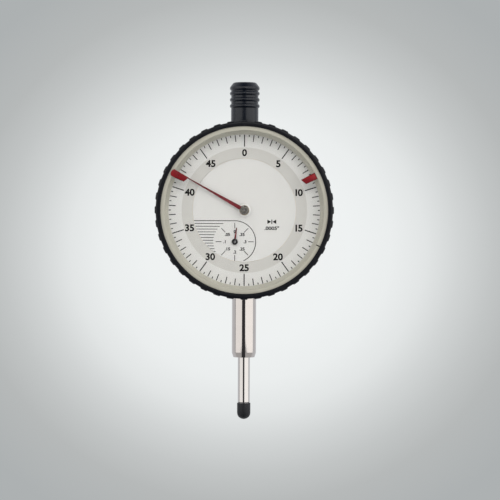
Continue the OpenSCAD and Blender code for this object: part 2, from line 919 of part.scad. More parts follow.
module pointer_hub() {
    color([0.75, 0.74, 0.7])
        on_dial()
            rotate_extrude()
                polygon([
                    [0.4, dial_front + 0.2], [1.1, dial_front + 0.2], [1.1, pointer_back], [0.8, pointer_back],
                    [0.8, pointer_front], [1.6, pointer_front], [1.6, 11.3], [1.35, 11.6], [0.55, 11.6],
                    [0.4, 11.4]
                ]);
}

module main_pointer() {
    color([0.55, 0.08, 0.16])
        on_dial()
            rotate([0, 0, -pointer_angle])
                translate([0, 0, pointer_back])
                    linear_extrude(pointer_front - pointer_back)
                        difference() {
                            union() {
                                circle(r = 1.5);
                                polygon([[-0.7, 0], [0.7, 0], [0.36, 12], [0.13, 23.3], [-0.13, 23.3], [-0.36, 12]]);
                            }
                            circle(r = 0.8);
                        }
}

// ---- Hairspring arbor ----------------------------------------------------------------------

module hairspring_arbor() {
    color([0.75, 0.75, 0.78])
        on_dial(hairspring_x, hairspring_y)
            rotate_extrude()
                polygon([
                    [0, plate_back + 0.1], [0.25, plate_back + 0.1], [0.25, plate_front + 0.1],
                    [1, plate_front + 0.1], [1, wheel_back], [0.8, wheel_back], [0.8, wheel_front],
                    [0.6, wheel_front], [0.6, 6.3], [0.25, 6.3], [0.25, bridge_front - 0.1],
                    [0, bridge_front - 0.1]
                ]);
}

module hairspring_wheel() {
    color([0.82, 0.68, 0.36])
        on_dial(hairspring_x, hairspring_y)
            crossed_wheel(hairspring_teeth, hairspring_r, hairspring_angle + 180, 0.8, 2.1, 5);
}

module hairspring_collet() {
    color([0.8, 0.66, 0.38])
        on_dial(hairspring_x, hairspring_y)
            ring(0.95, 0.6, 5.2, 6);
}

case_body();
rear_cover();
cover_gasket();
cover_screws();
mounting_shank();
lower_bush();
shank_seal();
upper_guide_tube();
upper_bush();
cap_stop_washer();
movement_plate();
plate_screws();
front_bridge();
bridge_pillars();
bridge_screws();
rear_cock();
cock_posts();
cock_screws();
jewel_bearings();
guide_rod();
guide_rod_holders();
spring_post();
measuring_spring();
hairspring();
hairspring_stud();
bezel_retaining_spring();
dial_seat();
dial_disc();
dial_feet();
bezel_ring();
scale_ring();
spacer_ring();
crystal_gasket();
crystal();
crystal_ring();
marker_left();
marker_right();
spindle();
contact_point();
contact_ball();
tip_guard();
guide_arm();
guide_arm_screw();
lifting_cap();
cap_insert();
rack_pinion_arbor();
counter_wheel();
small_pointer_hub();
small_pointer();
centre_arbor();
pointer_hub();
main_pointer();
hairspring_arbor();
hairspring_wheel();
hairspring_collet();
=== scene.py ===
"""Looks of a plunger dial indicator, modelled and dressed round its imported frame.

Sizes in the sub-assemblies are millimetres. The dial faces -Y, the spindle runs along Z, and a depth grows
from the spindle axis towards the reader. Clock angles run clockwise from twelve, seen by the reader.
"""

import logging
import math
from dataclasses import dataclass
from enum import Enum
from typing import Any, Callable, Iterable, Sequence

import bpy
from mathutils import Matrix, Vector

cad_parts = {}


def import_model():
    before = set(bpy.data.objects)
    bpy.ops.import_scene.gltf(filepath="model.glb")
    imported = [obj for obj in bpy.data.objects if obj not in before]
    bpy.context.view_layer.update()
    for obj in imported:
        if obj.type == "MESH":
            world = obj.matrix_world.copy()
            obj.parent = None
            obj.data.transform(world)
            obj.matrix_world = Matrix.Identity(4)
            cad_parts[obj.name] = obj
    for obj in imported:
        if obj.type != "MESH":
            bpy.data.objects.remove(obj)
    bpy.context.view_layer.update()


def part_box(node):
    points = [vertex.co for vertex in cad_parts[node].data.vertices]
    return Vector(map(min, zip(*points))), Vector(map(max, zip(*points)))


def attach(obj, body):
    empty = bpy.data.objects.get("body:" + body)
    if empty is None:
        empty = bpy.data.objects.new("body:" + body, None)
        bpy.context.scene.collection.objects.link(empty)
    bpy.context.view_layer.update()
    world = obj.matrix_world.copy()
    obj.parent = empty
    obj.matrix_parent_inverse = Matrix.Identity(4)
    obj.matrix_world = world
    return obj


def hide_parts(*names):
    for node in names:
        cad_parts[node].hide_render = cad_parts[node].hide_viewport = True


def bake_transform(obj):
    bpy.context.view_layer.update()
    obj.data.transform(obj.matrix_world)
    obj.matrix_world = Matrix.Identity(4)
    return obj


LOG = logging.getLogger("dial_indicator")
MM = 0.001
MERGE_GAP = 0.0004 * MM
SAME_CORNER = 0.004 * MM
SAME_LEVEL = 0.01 * MM
FULL_TURN = 360.0
MOTTLE_RANGE = (0.3, 0.7)

Colour = tuple[float, float, float, float]
Corner = tuple[float, ...]  # radius, place along the axis and, where the corner is rounded, its radius
Point = tuple[float, float]
Piece = bpy.types.Object
Node = bpy.types.Node
Socket = bpy.types.NodeSocket

COUNTER: Point = (-3.1, -10.3)  # the middle of the turn counter, right of and above the dial's centre


def shade(red: int, green: int, blue: int) -> Colour:
    """Turns a colour of 0 to 255 steps into the linear one that a shader takes.

    Args:
        red: Its red.
        green: Its green.
        blue: Its blue.

    Returns:
        The colour, with an alpha of one.
    """
    steps = (red / 255, green / 255, blue / 255)
    linear = [s / 12.92 if s <= 0.04045 else ((s + 0.055) / 1.055) ** 2.4 for s in steps]
    return linear[0], linear[1], linear[2], 1.0


# ---- Places ------------------------------------------------------------------------------------


class Axis(Enum):
    """The line that a turned piece is turned about."""

    DIAL = "dial"
    SPINDLE = "spindle"

    def direction(self) -> Vector:
        """The way in which places along this axis grow."""
        return Vector((0, -1, 0)) if self is Axis.DIAL else Vector((0, 0, 1))


class Lay(Enum):
    """How the tool marks lie on a machined piece."""

    ROUND_SPINDLE = "rings along the spindle"
    ROUND_DIAL = "rings round the dial axis"
    BRUSHED = "straight strokes"
    DRAWN = "strokes along the wire"


def dial_centre() -> Vector:
    """The point on the spindle's plane that the dial turns about."""
    low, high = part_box("dial_disc")
    return Vector(((low.x + high.x) / 2, 0, (low.z + high.z) / 2))


def on_dial(across: float, up: float, depth: float) -> Vector:
    """The point so far right of and above the dial's centre, at a depth, all in millimetres."""
    return dial_centre() + Vector((across, -depth, up)) * MM


def at_clock(radius: float, clock: float) -> Point:
    """Right of and above the centre, for a radius and a clock angle."""
    turn = math.radians(clock)
    return radius * math.sin(turn), radius * math.cos(turn)


def stepped(first: float, last: float, steps: int) -> list[float]:
    """Angles in even steps from the first to the last."""
    return [first + (last - first) * step / steps for step in range(steps + 1)]


def front_of(node: str) -> float:
    """The depth in millimetres of a frame node's front."""
    return -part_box(node)[0].y / MM


def back_of(node: str) -> float:
    """The depth in millimetres of a frame node's back."""
    return -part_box(node)[1].y / MM


# ---- Modelling ---------------------------------------------------------------------------------


def put_down_all() -> None:
    """Leaves edit mode and deselects everything, so that the next tool acts on its own piece."""
    if bpy.context.object and bpy.context.object.mode != "OBJECT":
        bpy.ops.object.mode_set(mode="OBJECT")
    bpy.ops.object.select_all(action="DESELECT")


def apply_moves() -> None:
    """Puts the selected piece's place, turn and size into its mesh."""
    bpy.ops.object.transform_apply(location=True, rotation=True, scale=True)


def pick_up(piece: Piece) -> None:
    """Selects one piece and makes it the active one.

    Args:
        piece: The piece.
    """
    put_down_all()
    piece.select_set(True)
    bpy.context.view_layer.objects.active = piece


def edit_all() -> None:
    """Enters edit mode and selects the whole piece."""
    bpy.ops.object.mode_set(mode="EDIT")
    bpy.ops.mesh.select_all(action="SELECT")


def start_point(name: str, place: Vector) -> Piece:
    """Starts a piece as one corner at a place, and leaves it in edit mode.

    Args:
        name: The piece's name.
        place: Where the corner is.

    Returns:
        The piece, with its object at the origin.
    """
    put_down_all()
    bpy.ops.mesh.primitive_plane_add(size=0.1 * MM, location=place)
    piece = bpy.context.object
    piece.name = piece.data.name = name
    apply_moves()
    bpy.ops.object.mode_set(mode="EDIT")
    bpy.ops.mesh.select_mode(type="VERT")
    bpy.ops.mesh.select_all(action="SELECT")
    bpy.ops.mesh.merge(type="CENTER")
    return piece


def draw_on(places: Sequence[Vector], closed: bool) -> None:
    """Draws an outline on from the corner where it starts.

    Args:
        places: All corners, the first of which is there already.
        closed: Whether the outline comes back to its first corner.
    """
    route = list(places) + ([places[0]] if closed else [])
    for here, there in zip(route, route[1:]):
        bpy.ops.mesh.extrude_vertices_move(TRANSFORM_OT_translate={"value": there - here})
    bpy.ops.mesh.select_all(action="SELECT")
    bpy.ops.mesh.remove_doubles(threshold=MERGE_GAP)


def select_where(piece: Piece, test: Callable[[Vector], bool]) -> int:
    """Selects the corners of a piece in edit mode whose place passes a test.

    Args:
        piece: The piece.
        test: Takes a place and says whether the corner is wanted.

    Returns:
        How many corners are selected.
    """
    bpy.ops.mesh.select_mode(type="VERT")
    bpy.ops.mesh.select_all(action="DESELECT")
    bpy.ops.object.mode_set(mode="OBJECT")
    count = 0
    for corner in piece.data.vertices:
        corner.select = test(corner.co)
        count += corner.select
    bpy.ops.object.mode_set(mode="EDIT")
    return count


def soften_corners(piece: Piece, roundings: Iterable[tuple[Vector, float]]) -> None:
    """Rounds the corners of a flat outline.

    Args:
        piece: The outline, in edit mode.
        roundings: Each corner's place and the size of its rounding in millimetres.
    """
    for place, size in roundings:
        if select_where(piece, lambda co, at=place: (co - at).length < SAME_CORNER) == 1:
            bpy.ops.mesh.bevel(offset=size * MM, segments=3, affect="VERTICES", clamp_overlap=True)
    bpy.ops.mesh.select_all(action="SELECT")


def close_up(piece: Piece, smooth: float = 32.0) -> Piece:
    """Merges doubles, turns all faces outwards and leaves edit mode with smooth shading.

    Args:
        piece: The piece, in edit mode.
        smooth: The angle in degrees above which an edge stays sharp.

    Returns:
        The piece.
    """
    bpy.ops.mesh.select_all(action="SELECT")
    bpy.ops.mesh.remove_doubles(threshold=MERGE_GAP)
    bpy.ops.mesh.normals_make_consistent(inside=False)
    bpy.ops.object.mode_set(mode="OBJECT")
    pick_up(piece)
    bpy.ops.object.shade_smooth_by_angle(angle=math.radians(smooth))
    return piece


def turned(name: str, outline: Sequence[Corner], axis: Axis, centre: Vector, steps: int = 128,
           gap: tuple[float, float] | None = None, closed: bool = True) -> Piece:
    """Turns an outline about an axis.

    Args:
        name: The piece's name.
        outline: Corners as radius, place along the axis and rounding, in millimetres.
        axis: What it is turned about.
        centre: A point on that axis, from which places along it count.
        steps: How many flats make the full turn.
        gap: The clock angle and the width in degrees of a slit through the ring.
        closed: Whether the outline closes on itself; one that meets the axis twice doesn't.

    Returns:
        The piece.
    """
    along = axis.direction()
    places = [centre + (Vector((corner[0], 0, 0)) + along * corner[1]) * MM for corner in outline]
    piece = start_point(name, places[0])
    draw_on(places, closed)
    soften_corners(piece, [(p, c[2]) for p, c in zip(places, outline) if len(c) > 2])
    sweep = FULL_TURN
    if gap:
        sweep -= gap[1]
        bpy.ops.object.mode_set(mode="OBJECT")
        swing(piece, centre, gap[0] - 90 - gap[1] / 2)
        edit_all()
    bpy.ops.mesh.spin(steps=steps, angle=math.radians(sweep), center=centre, axis=along)
    if gap:
        bpy.ops.mesh.select_all(action="DESELECT")
        bpy.ops.mesh.select_non_manifold()
        bpy.ops.mesh.fill_holes(sides=0)
    return close_up(piece)


def swing(piece: Piece, centre: Vector, clock: float) -> Piece:
    """Turns a piece clockwise about the dial axis through a point, in its own mesh.

    Args:
        piece: The piece, in object mode.
        centre: The point.
        clock: The angle in degrees.

    Returns:
        The piece.
    """
    pick_up(piece)
    turn = Matrix.Rotation(math.radians(clock), 4, "Y")
    piece.matrix_world = Matrix.Translation(centre) @ turn @ Matrix.Translation(-centre)
    apply_moves()
    return piece


def plate(name: str, outline: Sequence[Point], back: float, front: float, edge: float = 0.0,
          centre: Point = (0.0, 0.0)) -> Piece:
    """Cuts a flat plate that faces the reader.

    Args:
        name: The piece's name.
        outline: Corners right of and above the centre, in millimetres.
        back: Depth of its back.
        front: Depth of its front.
        edge: Width of the bevel round the front.
        centre: Where the outline's centre lies on the dial.

    Returns:
        The piece.
    """
    places = [on_dial(centre[0] + x, centre[1] + y, back) for x, y in outline]
    piece = start_point(name, places[0])
    draw_on(places, closed=True)
    bpy.ops.mesh.edge_face_add()
    bpy.ops.mesh.extrude_region_move(TRANSFORM_OT_translate={"value": Vector((0, back - front, 0)) * MM})
    if edge:
        level = -front * MM
        select_where(piece, lambda co: abs(co.y - level) < SAME_LEVEL)
        bpy.ops.mesh.select_mode(type="EDGE")
        bpy.ops.mesh.bevel(offset=edge * MM, segments=2, affect="EDGES", clamp_overlap=True)
    return close_up(piece)


def joined(name: str, pieces: Sequence[Piece]) -> Piece:
    """Joins pieces into the first one, and names it.

    Args:
        name: The name that the result takes.
        pieces: The pieces, of which the first one stays.

    Returns:
        The joined piece.
    """
    put_down_all()
    for piece in pieces:
        piece.select_set(True)
    bpy.context.view_layer.objects.active = pieces[0]
    if len(pieces) > 1:
        bpy.ops.object.join()
    pieces[0].name = pieces[0].data.name = name
    return pieces[0]


def repeated(piece: Piece, centre: Vector, count: int, pitch: float) -> Piece:
    """Repeats a piece round the dial axis within its own mesh.

    Args:
        piece: What is repeated.
        centre: A point on the axis.
        count: How many there are in all.
        pitch: Degrees from one to the next.

    Returns:
        The piece.
    """
    pick_up(piece)
    edit_all()
    bpy.ops.mesh.spin(steps=count - 1, angle=math.radians(pitch * (count - 1)), dupli=True,
                      center=centre, axis=(0, 1, 0))
    bpy.ops.object.mode_set(mode="OBJECT")
    return piece


def stroke(name: str, start: Point, end: Point, width: float, base: float, lift: float,
           centre: Point = (0.0, 0.0)) -> Piece:
    """Prints a straight stroke on the dial.

    Args:
        name: The piece's name.
        start: Where it starts, right of and above the centre.
        end: Where it ends.
        width: Its width.
        base: Depth of the face that it is printed on.
        lift: Thickness of the ink.
        centre: Where the centre lies on the dial.

    Returns:
        The piece.
    """
    run = Vector(end) - Vector(start)
    side = Vector((-run.y, run.x)).normalized() * width / 2
    corners = [Vector(start) + side, Vector(start) - side, Vector(end) - side, Vector(end) + side]
    return plate(name, [(c.x, c.y) for c in corners], base - lift / 2, base + lift, centre=centre)


def lettered(name: str, words: str, height: float, narrow: float, weight: float, place: Point,
             base: float, lift: float) -> Piece:
    """Prints figures on the dial.

    Args:
        name: The piece's name.
        words: The figures.
        height: Height of the print.
        narrow: Width as a share of the type's own.
        weight: How much the strokes are thickened, as a share of the type's size.
        place: The middle of the print, right of and above the dial's centre.
        base: Depth of the face that it is printed on.
        lift: Thickness of the ink.

    Returns:
        The piece.
    """
    put_down_all()
    bpy.ops.object.text_add(location=(0, 0, 0))
    piece = bpy.context.object
    piece.data.body = words
    piece.data.offset = weight
    piece.data.resolution_u = 4
    piece.data.space_character = 0.84 if words.startswith("1") else 1.0
    bpy.ops.object.convert(target="MESH")
    piece = bpy.context.object
    piece.name = piece.data.name = name
    across = [corner.co.x for corner in piece.data.vertices]
    up = [corner.co.y for corner in piece.data.vertices]
    scale = height * MM / (max(up) - min(up))
    middle = Vector(((max(across) + min(across)) / 2, (max(up) + min(up)) / 2, 0))
    piece.matrix_world = (
        Matrix.Translation(on_dial(place[0], place[1], base - lift / 2))
        @ Matrix.Rotation(math.radians(90), 4, "X")
        @ Matrix.Diagonal((scale * narrow, scale, 1, 1))
        @ Matrix.Translation(-middle)
    )
    apply_moves()
    edit_all()
    bpy.ops.mesh.remove_doubles(threshold=MERGE_GAP)
    bpy.ops.mesh.extrude_region_move(TRANSFORM_OT_translate={"value": Vector((0, -1.5 * lift * MM, 0))})
    return close_up(piece)


# ---- Shaders -----------------------------------------------------------------------------------


class Wiring:
    """Adds the nodes of one material or group and joins them."""

    def __init__(self, tree: bpy.types.NodeTree) -> None:
        """Starts on an empty node tree."""
        self.tree = tree

    def feed(self, node: Node, feeds: dict[Any, Any]) -> None:
        """Fills inputs of a node.

        Args:
            node: The node.
            feeds: What goes into each input, by name or number: an output or a plain value.
        """
        for key, value in feeds.items():
            if isinstance(value, Socket):
                self.tree.links.new(value, node.inputs[key])
            else:
                node.inputs[key].default_value = value

    def add(self, kind: str, feeds: dict[Any, Any] | None = None, **settings: Any) -> Node:
        """Adds a node.

        Args:
            kind: Its type, without the leading word for shader nodes.
            feeds: What goes into its inputs.
            **settings: Its own settings.

        Returns:
            The node.
        """
        node = self.tree.nodes.new(kind if kind.startswith("NodeGroup") else "ShaderNode" + kind)
        for key, value in settings.items():
            setattr(node, key, value)
        self.feed(node, feeds or {})
        return node

    def use(self, effect: "Effect", feeds: dict[str, Any]) -> Node:
        """Adds a shared effect as a group node."""
        return self.add("Group", feeds, node_tree=effect.tree())

    def sum_up(self, operation: str, *terms: Any) -> Socket:
        """Works out one number from others by a Math node."""
        return self.add("Math", dict(enumerate(terms)), operation=operation).outputs[0]

    def fit(self, value: Socket, low: float, high: float, to_low: float = 0.0,
            to_high: float = 1.0) -> Socket:
        """Maps a value from one range to another, softly and within its ends."""
        feeds = {"Value": value, "From Min": low, "From Max": high, "To Min": to_low, "To Max": to_high}
        return self.add("MapRange", feeds, interpolation_type="SMOOTHSTEP").outputs[0]

    def blend(self, share: Any, first: Any, second: Any, kind: str = "MIX") -> Socket:
        """Blends two colours."""
        return self.add("Mix", {0: share, 6: first, 7: second}, data_type="RGBA", blend_type=kind).outputs[2]

    def bump(self, marks: Node, strength: float, depth: float) -> Socket:
        """The surface's direction, from the height that an effect gives and a depth in millimetres."""
        feeds = {"Strength": strength, "Distance": depth * MM, "Height": marks.outputs["Height"]}
        return self.add("Bump", feeds).outputs[0]

    def noise(self, place: Socket, scale: Any, detail: float, **others: float) -> Socket:
        """A noise over the surface."""
        return self.add("TexNoise", {"Vector": place, "Scale": scale, "Detail": detail, **others}).outputs[0]

    def place(self) -> Socket:
        """The point on the surface, in object coordinates."""
        return self.add("TexCoord").outputs["Object"]

    def length(self, across: Socket, up: Socket) -> Socket:
        """The length of a slope from its run across and its run up."""
        squares = [self.sum_up("MULTIPLY", run, run) for run in (across, up)]
        return self.sum_up("SQRT", self.sum_up("ADD", *squares))

    def off_axis(self, split: Node) -> Socket:
        """How far a place, split into its three parts, lies from the dial's axis, in metres."""
        return self.length(split.outputs["X"], self.sum_up("SUBTRACT", split.outputs["Z"], dial_centre().z))


class Effect(Enum):
    """The effects that several finishes share, each built once as a node group."""

    GRAIN = "fine_grain"
    WEAR = "edge_wear"
    LATHE = "tool_marks"
    HANDLING = "handling"

    def tree(self) -> bpy.types.NodeTree:
        """The node group of this effect, which is built on its first use.

        Returns:
            The node group.
        """
        found = bpy.data.node_groups.get(self.value)
        if found:
            return found
        build = {Effect.GRAIN: build_grain, Effect.WEAR: build_wear,
                 Effect.LATHE: build_lathe, Effect.HANDLING: build_handling}
        return build[self](self.value)


def open_group(name: str, inputs: dict[str, str], outputs: Sequence[str]) -> tuple[Wiring, dict, Node]:
    """Starts a node group.

    Args:
        name: Its name.
        inputs: Socket type of each input.
        outputs: The outputs, which are all plain numbers.

    Returns:
        Its wiring, its inputs as sockets by name, and its output node.
    """
    tree = bpy.data.node_groups.new(name, "ShaderNodeTree")
    for label, kind in inputs.items():
        tree.interface.new_socket(label, in_out="INPUT", socket_type="NodeSocket" + kind)
    for label in outputs:
        tree.interface.new_socket(label, in_out="OUTPUT", socket_type="NodeSocketFloat")
    wires = Wiring(tree)
    return wires, dict(wires.add("NodeGroupInput").outputs.items()), wires.add("NodeGroupOutput")


def build_grain(name: str) -> bpy.types.NodeTree:
    """Fine moulded or cast grain: a height for bump, and a tone about one half.

    Args:
        name: The group's name.

    Returns:
        The node group.
    """
    wires, given, out = open_group(name, {"Vector": "Vector", "Grains per mm": "Float"}, ("Height", "Tone"))
    scale = wires.sum_up("MULTIPLY", given["Grains per mm"], 1 / MM)
    coarse = wires.noise(given["Vector"], scale, 3.0, Roughness=0.6)
    cells = wires.add("TexVoronoi", {"Vector": given["Vector"], "Scale": scale}).outputs[0]
    height = wires.sum_up("ADD", coarse, wires.sum_up("MULTIPLY", cells, 0.5))
    wires.feed(out, {"Height": height, "Tone": wires.noise(given["Vector"], 180.0, 4.0)})
    return wires.tree


def build_wear(name: str) -> bpy.types.NodeTree:
    """Where hands and cloths have rubbed the edges: a mask that is broken up by a noise.

    Args:
        name: The group's name.

    Returns:
        The node group.
    """
    wires, given, out = open_group(name, {"Vector": "Vector", "Amount": "Float"}, ("Mask",))
    point = wires.add("NewGeometry").outputs["Pointiness"]
    ragged = wires.sum_up("MULTIPLY_ADD", wires.noise(given["Vector"], 900.0, 3.0), 0.06, point)
    wires.feed(out, {"Mask": wires.sum_up("MULTIPLY", wires.fit(ragged, 0.535, 0.60), given["Amount"])})
    return wires.tree


def build_lathe(name: str) -> bpy.types.NodeTree:
    """Rings or strokes left by a tool, from how far along its feed a point lies.

    Args:
        name: The group's name.

    Returns:
        The node group.
    """
    wires, given, out = open_group(name, {"Feed": "Float", "Marks per mm": "Float"}, ("Height", "Tone"))
    steps = wires.sum_up("MULTIPLY", wires.sum_up("MULTIPLY", given["Feed"], 1 / MM), given["Marks per mm"])
    for label, scale in (("Height", 1.0), ("Tone", 0.06)):
        marks = wires.add("TexNoise", {"W": steps, "Scale": scale, "Detail": 2.0}, noise_dimensions="1D")
        wires.feed(out, {label: marks.outputs[0]})
    return wires.tree


def build_handling(name: str) -> bpy.types.NodeTree:
    """Light smears and a little dust, as a mask for gloss.

    Args:
        name: The group's name.

    Returns:
        The node group.
    """
    wires, given, out = open_group(name, {"Vector": "Vector", "Amount": "Float"}, ("Mask",))
    smear = wires.fit(wires.noise(given["Vector"], 120.0, 5.0, Distortion=1.5), 0.42, 0.68)
    dust = wires.fit(wires.noise(given["Vector"], 2600.0, 1.0), 0.66, 0.72, 0.0, 0.5)
    wires.feed(out, {"Mask": wires.sum_up("MULTIPLY", wires.sum_up("ADD", smear, dust), given["Amount"])})
    return wires.tree


@dataclass(frozen=True)
class Finish:
    """What a surface is made of. Its material is built once, and its name ends in _finish."""

    name: str
    colour: Colour
    roughness: float

    def material(self) -> bpy.types.Material:
        """The finish's material, which is built on its first use.

        Returns:
            The material.
        """
        name = self.name + "_finish"
        found = bpy.data.materials.get(name)
        if found:
            return found
        made = bpy.data.materials.new(name)
        made.use_nodes = True
        made.diffuse_color = self.colour
        made.node_tree.nodes.clear()
        wires = Wiring(made.node_tree)
        shader = wires.add("BsdfPrincipled")
        surface = self.wire_up(wires, shader) or shader.outputs[0]
        wires.add("OutputMaterial", {"Surface": surface})
        return made

    def wire_up(self, wires: Wiring, shader: Node) -> Socket | None:
        """Joins the finish's pattern to the shader.

        Args:
            wires: The material's wiring.
            shader: Its Principled shader.

        Returns:
            The surface to show, or None for the shader's own.
        """
        raise NotImplementedError

    def mottled(self, wires: Wiring, tone: Socket, tint: float) -> Socket:
        """The finish's colour, made darker and lighter by a share as a tone changes."""
        dark, light = (tuple(min(1.0, c * s) for c in self.colour[:3]) + (1.0,) for s in (1 - tint, 1 + tint))
        return wires.blend(tone, dark, light)

    def roughened(self, wires: Wiring, grain: Node, most: float) -> Socket:
        """The finish's roughness, with up to so much more where the grain's tone is high."""
        return wires.fit(grain.outputs["Tone"], *MOTTLE_RANGE, self.roughness, self.roughness + most)

    def dress(self, *pieces: Piece) -> None:
        """Puts the finish on every face of some pieces.

        Args:
            *pieces: The pieces.
        """
        for piece in pieces:
            piece.data.materials.clear()
            piece.data.materials.append(self.material())

    def dress_nodes(self, *names: str) -> None:
        """Puts the finish in the material slots of some frame nodes.

        Args:
            *names: The nodes' names.
        """
        for name in names:
            for place in bpy.data.objects[name].material_slots:
                place.material = self.material()


@dataclass(frozen=True)
class Moulded(Finish):
    """Moulded plastic, rubber or paint with a fine grain, rubbed lighter along its edges."""

    grains_per_mm: float = 6.0
    grain_depth: float = 0.004
    rubbed: Colour = (0.2, 0.2, 0.2, 1.0)
    wear: float = 0.3
    gloss: float = 0.5
    handled: float = 0.5
    tint: float = 0.2
    dulled: float = 0.12

    def wire_up(self, wires: Wiring, shader: Node) -> None:
        """Grain in the bump, a slow change of tone, worn edges and handled gloss.

        Args:
            wires: The material's wiring.
            shader: Its Principled shader.
        """
        place = wires.place()
        grain = wires.use(Effect.GRAIN, {"Vector": place, "Grains per mm": self.grains_per_mm})
        worn = wires.use(Effect.WEAR, {"Vector": place, "Amount": self.wear}).outputs["Mask"]
        smears = wires.use(Effect.HANDLING, {"Vector": place, "Amount": self.handled}).outputs["Mask"]
        base = self.mottled(wires, grain.outputs["Tone"], self.tint)
        dullest = min(1.0, self.roughness + self.dulled)
        wires.feed(shader, {
            "Base Color": wires.blend(worn, base, self.rubbed),
            "Roughness": wires.fit(smears, 0.0, 1.0, self.roughness, dullest),
            "Specular IOR Level": self.gloss,
            "Normal": wires.bump(grain, 0.5, self.grain_depth),
        })


@dataclass(frozen=True)
class Machined(Finish):
    """Bare metal with the marks of its making."""

    lay: Lay = Lay.ROUND_SPINDLE
    marks_per_mm: float = 14.0
    mark_depth: float = 0.0006
    spread: float = 0.06
    tint: float = 0.06
    handled: float = 0.5

    def feed_along(self, wires: Wiring, place: Socket) -> Socket:
        """How far along the tool's feed a point lies.

        Args:
            wires: The material's wiring.
            place: The point.

        Returns:
            The distance in metres.
        """
        split = wires.add("SeparateXYZ", {0: place})
        if self.lay is Lay.ROUND_DIAL:
            return wires.sum_up("ADD", wires.off_axis(split), split.outputs["Y"])
        if self.lay is Lay.BRUSHED:
            return wires.sum_up("ADD", split.outputs["Z"], split.outputs["Y"])
        return split.outputs["X" if self.lay is Lay.DRAWN else "Z"]

    def wire_up(self, wires: Wiring, shader: Node) -> None:
        """Tool marks in the bump, the gloss and a little in the colour.

        Args:
            wires: The material's wiring.
            shader: Its Principled shader.
        """
        place = wires.place()
        feed = self.feed_along(wires, place)
        marks = wires.use(Effect.LATHE, {"Feed": feed, "Marks per mm": self.marks_per_mm})
        smears = wires.use(Effect.HANDLING, {"Vector": place, "Amount": self.handled}).outputs["Mask"]
        spread = wires.sum_up("MULTIPLY", marks.outputs["Height"], self.spread)
        spread = wires.sum_up("MULTIPLY_ADD", smears, self.spread, spread)
        wires.feed(shader, {
            "Base Color": self.mottled(wires, marks.outputs["Tone"], self.tint),
            "Metallic": 1.0,
            "Roughness": wires.sum_up("ADD", spread, self.roughness),
            "Normal": wires.bump(marks, 0.5, self.mark_depth),
        })


@dataclass(frozen=True)
class Enamelled(Finish):
    """A printed or enamelled face, with a darker band between two radii where there is one."""

    band: Colour | None = None
    band_inner: float = 0.0
    band_outer: float = 0.0
    band_blur: float = 0.06
    specks: float = 0.5
    grains_per_mm: float = 9.0

    def wire_up(self, wires: Wiring, shader: Node) -> None:
        """The band, a faint mottle and an almost flat surface.

        Args:
            wires: The material's wiring.
            shader: Its Principled shader.
        """
        place = wires.place()
        grain = wires.use(Effect.GRAIN, {"Vector": place, "Grains per mm": self.grains_per_mm})
        base: Any = self.colour
        if self.band:
            radius = wires.sum_up("DIVIDE", wires.off_axis(wires.add("SeparateXYZ", {0: place})), MM)
            inner, outer, blur = self.band_inner, self.band_outer, self.band_blur
            enter = wires.fit(radius, inner - blur, inner + blur)
            leave = wires.fit(radius, outer - blur, outer + blur, 1.0, 0.0)
            base = wires.blend(wires.sum_up("MULTIPLY", enter, leave), self.colour, self.band)
        mottle = wires.fit(grain.outputs["Tone"], *MOTTLE_RANGE, 1 - 0.03 * self.specks, 1.0)
        grey = wires.add("CombineColor", {0: mottle, 1: mottle, 2: mottle}).outputs[0]
        wires.feed(shader, {
            "Base Color": wires.blend(1.0, base, grey, "MULTIPLY"),
            "Roughness": self.roughened(wires, grain, 0.08),
            "Normal": wires.bump(grain, 0.3, 0.001),
        })


@dataclass(frozen=True)
class Lacquered(Finish):
    """Glossy coloured lacquer or tinted plastic that darkens towards its edges."""

    rim: Colour = (0.1, 0.0, 0.0, 1.0)
    coat: float = 0.4
    gloss: float = 0.5
    tint: float = 0.15
    grains_per_mm: float = 3.0

    def wire_up(self, wires: Wiring, shader: Node) -> None:
        """A darker colour along the convex edges, under a thin clear coat.

        Args:
            wires: The material's wiring.
            shader: Its Principled shader.
        """
        grain = wires.use(Effect.GRAIN, {"Vector": wires.place(), "Grains per mm": self.grains_per_mm})
        edge = wires.fit(wires.add("NewGeometry").outputs["Pointiness"], 0.51, 0.58)
        tone = self.mottled(wires, grain.outputs["Tone"], self.tint)
        wires.feed(shader, {
            "Base Color": wires.blend(edge, tone, self.rim),
            "Roughness": self.roughened(wires, grain, 0.1),
            "Specular IOR Level": self.gloss,
            "Coat Weight": self.coat,
            "Coat Roughness": 0.15,
            "Normal": wires.bump(grain, 0.2, 0.003),
        })


@dataclass(frozen=True)
class ClearCast(Finish):
    """Clear cast sheet that lets lamps through."""

    bend: float = 1.49
    handled: float = 0.3

    def wire_up(self, wires: Wiring, shader: Node) -> Socket:
        """Clear glass for sight, and open for the rays that light what is behind it.

        Args:
            wires: The material's wiring.
            shader: Its Principled shader.

        Returns:
            The glass, mixed with open air for the rays that carry light.
        """
        smears = wires.use(Effect.HANDLING, {"Vector": wires.place(), "Amount": self.handled})
        wires.feed(shader, {
            "Base Color": self.colour,
            "Roughness": wires.fit(smears.outputs["Mask"], 0.0, 1.0, self.roughness, self.roughness + 0.02),
            "IOR": self.bend,
            "Transmission Weight": 1.0,
        })
        lamp = wires.add("LightPath").outputs["Is Shadow Ray"]
        open_air = wires.add("BsdfTransparent", {"Color": (0.97, 0.97, 0.97, 1.0)}).outputs[0]
        return wires.add("MixShader", {0: lamp, 1: shader.outputs[0], 2: open_air}).outputs[0]


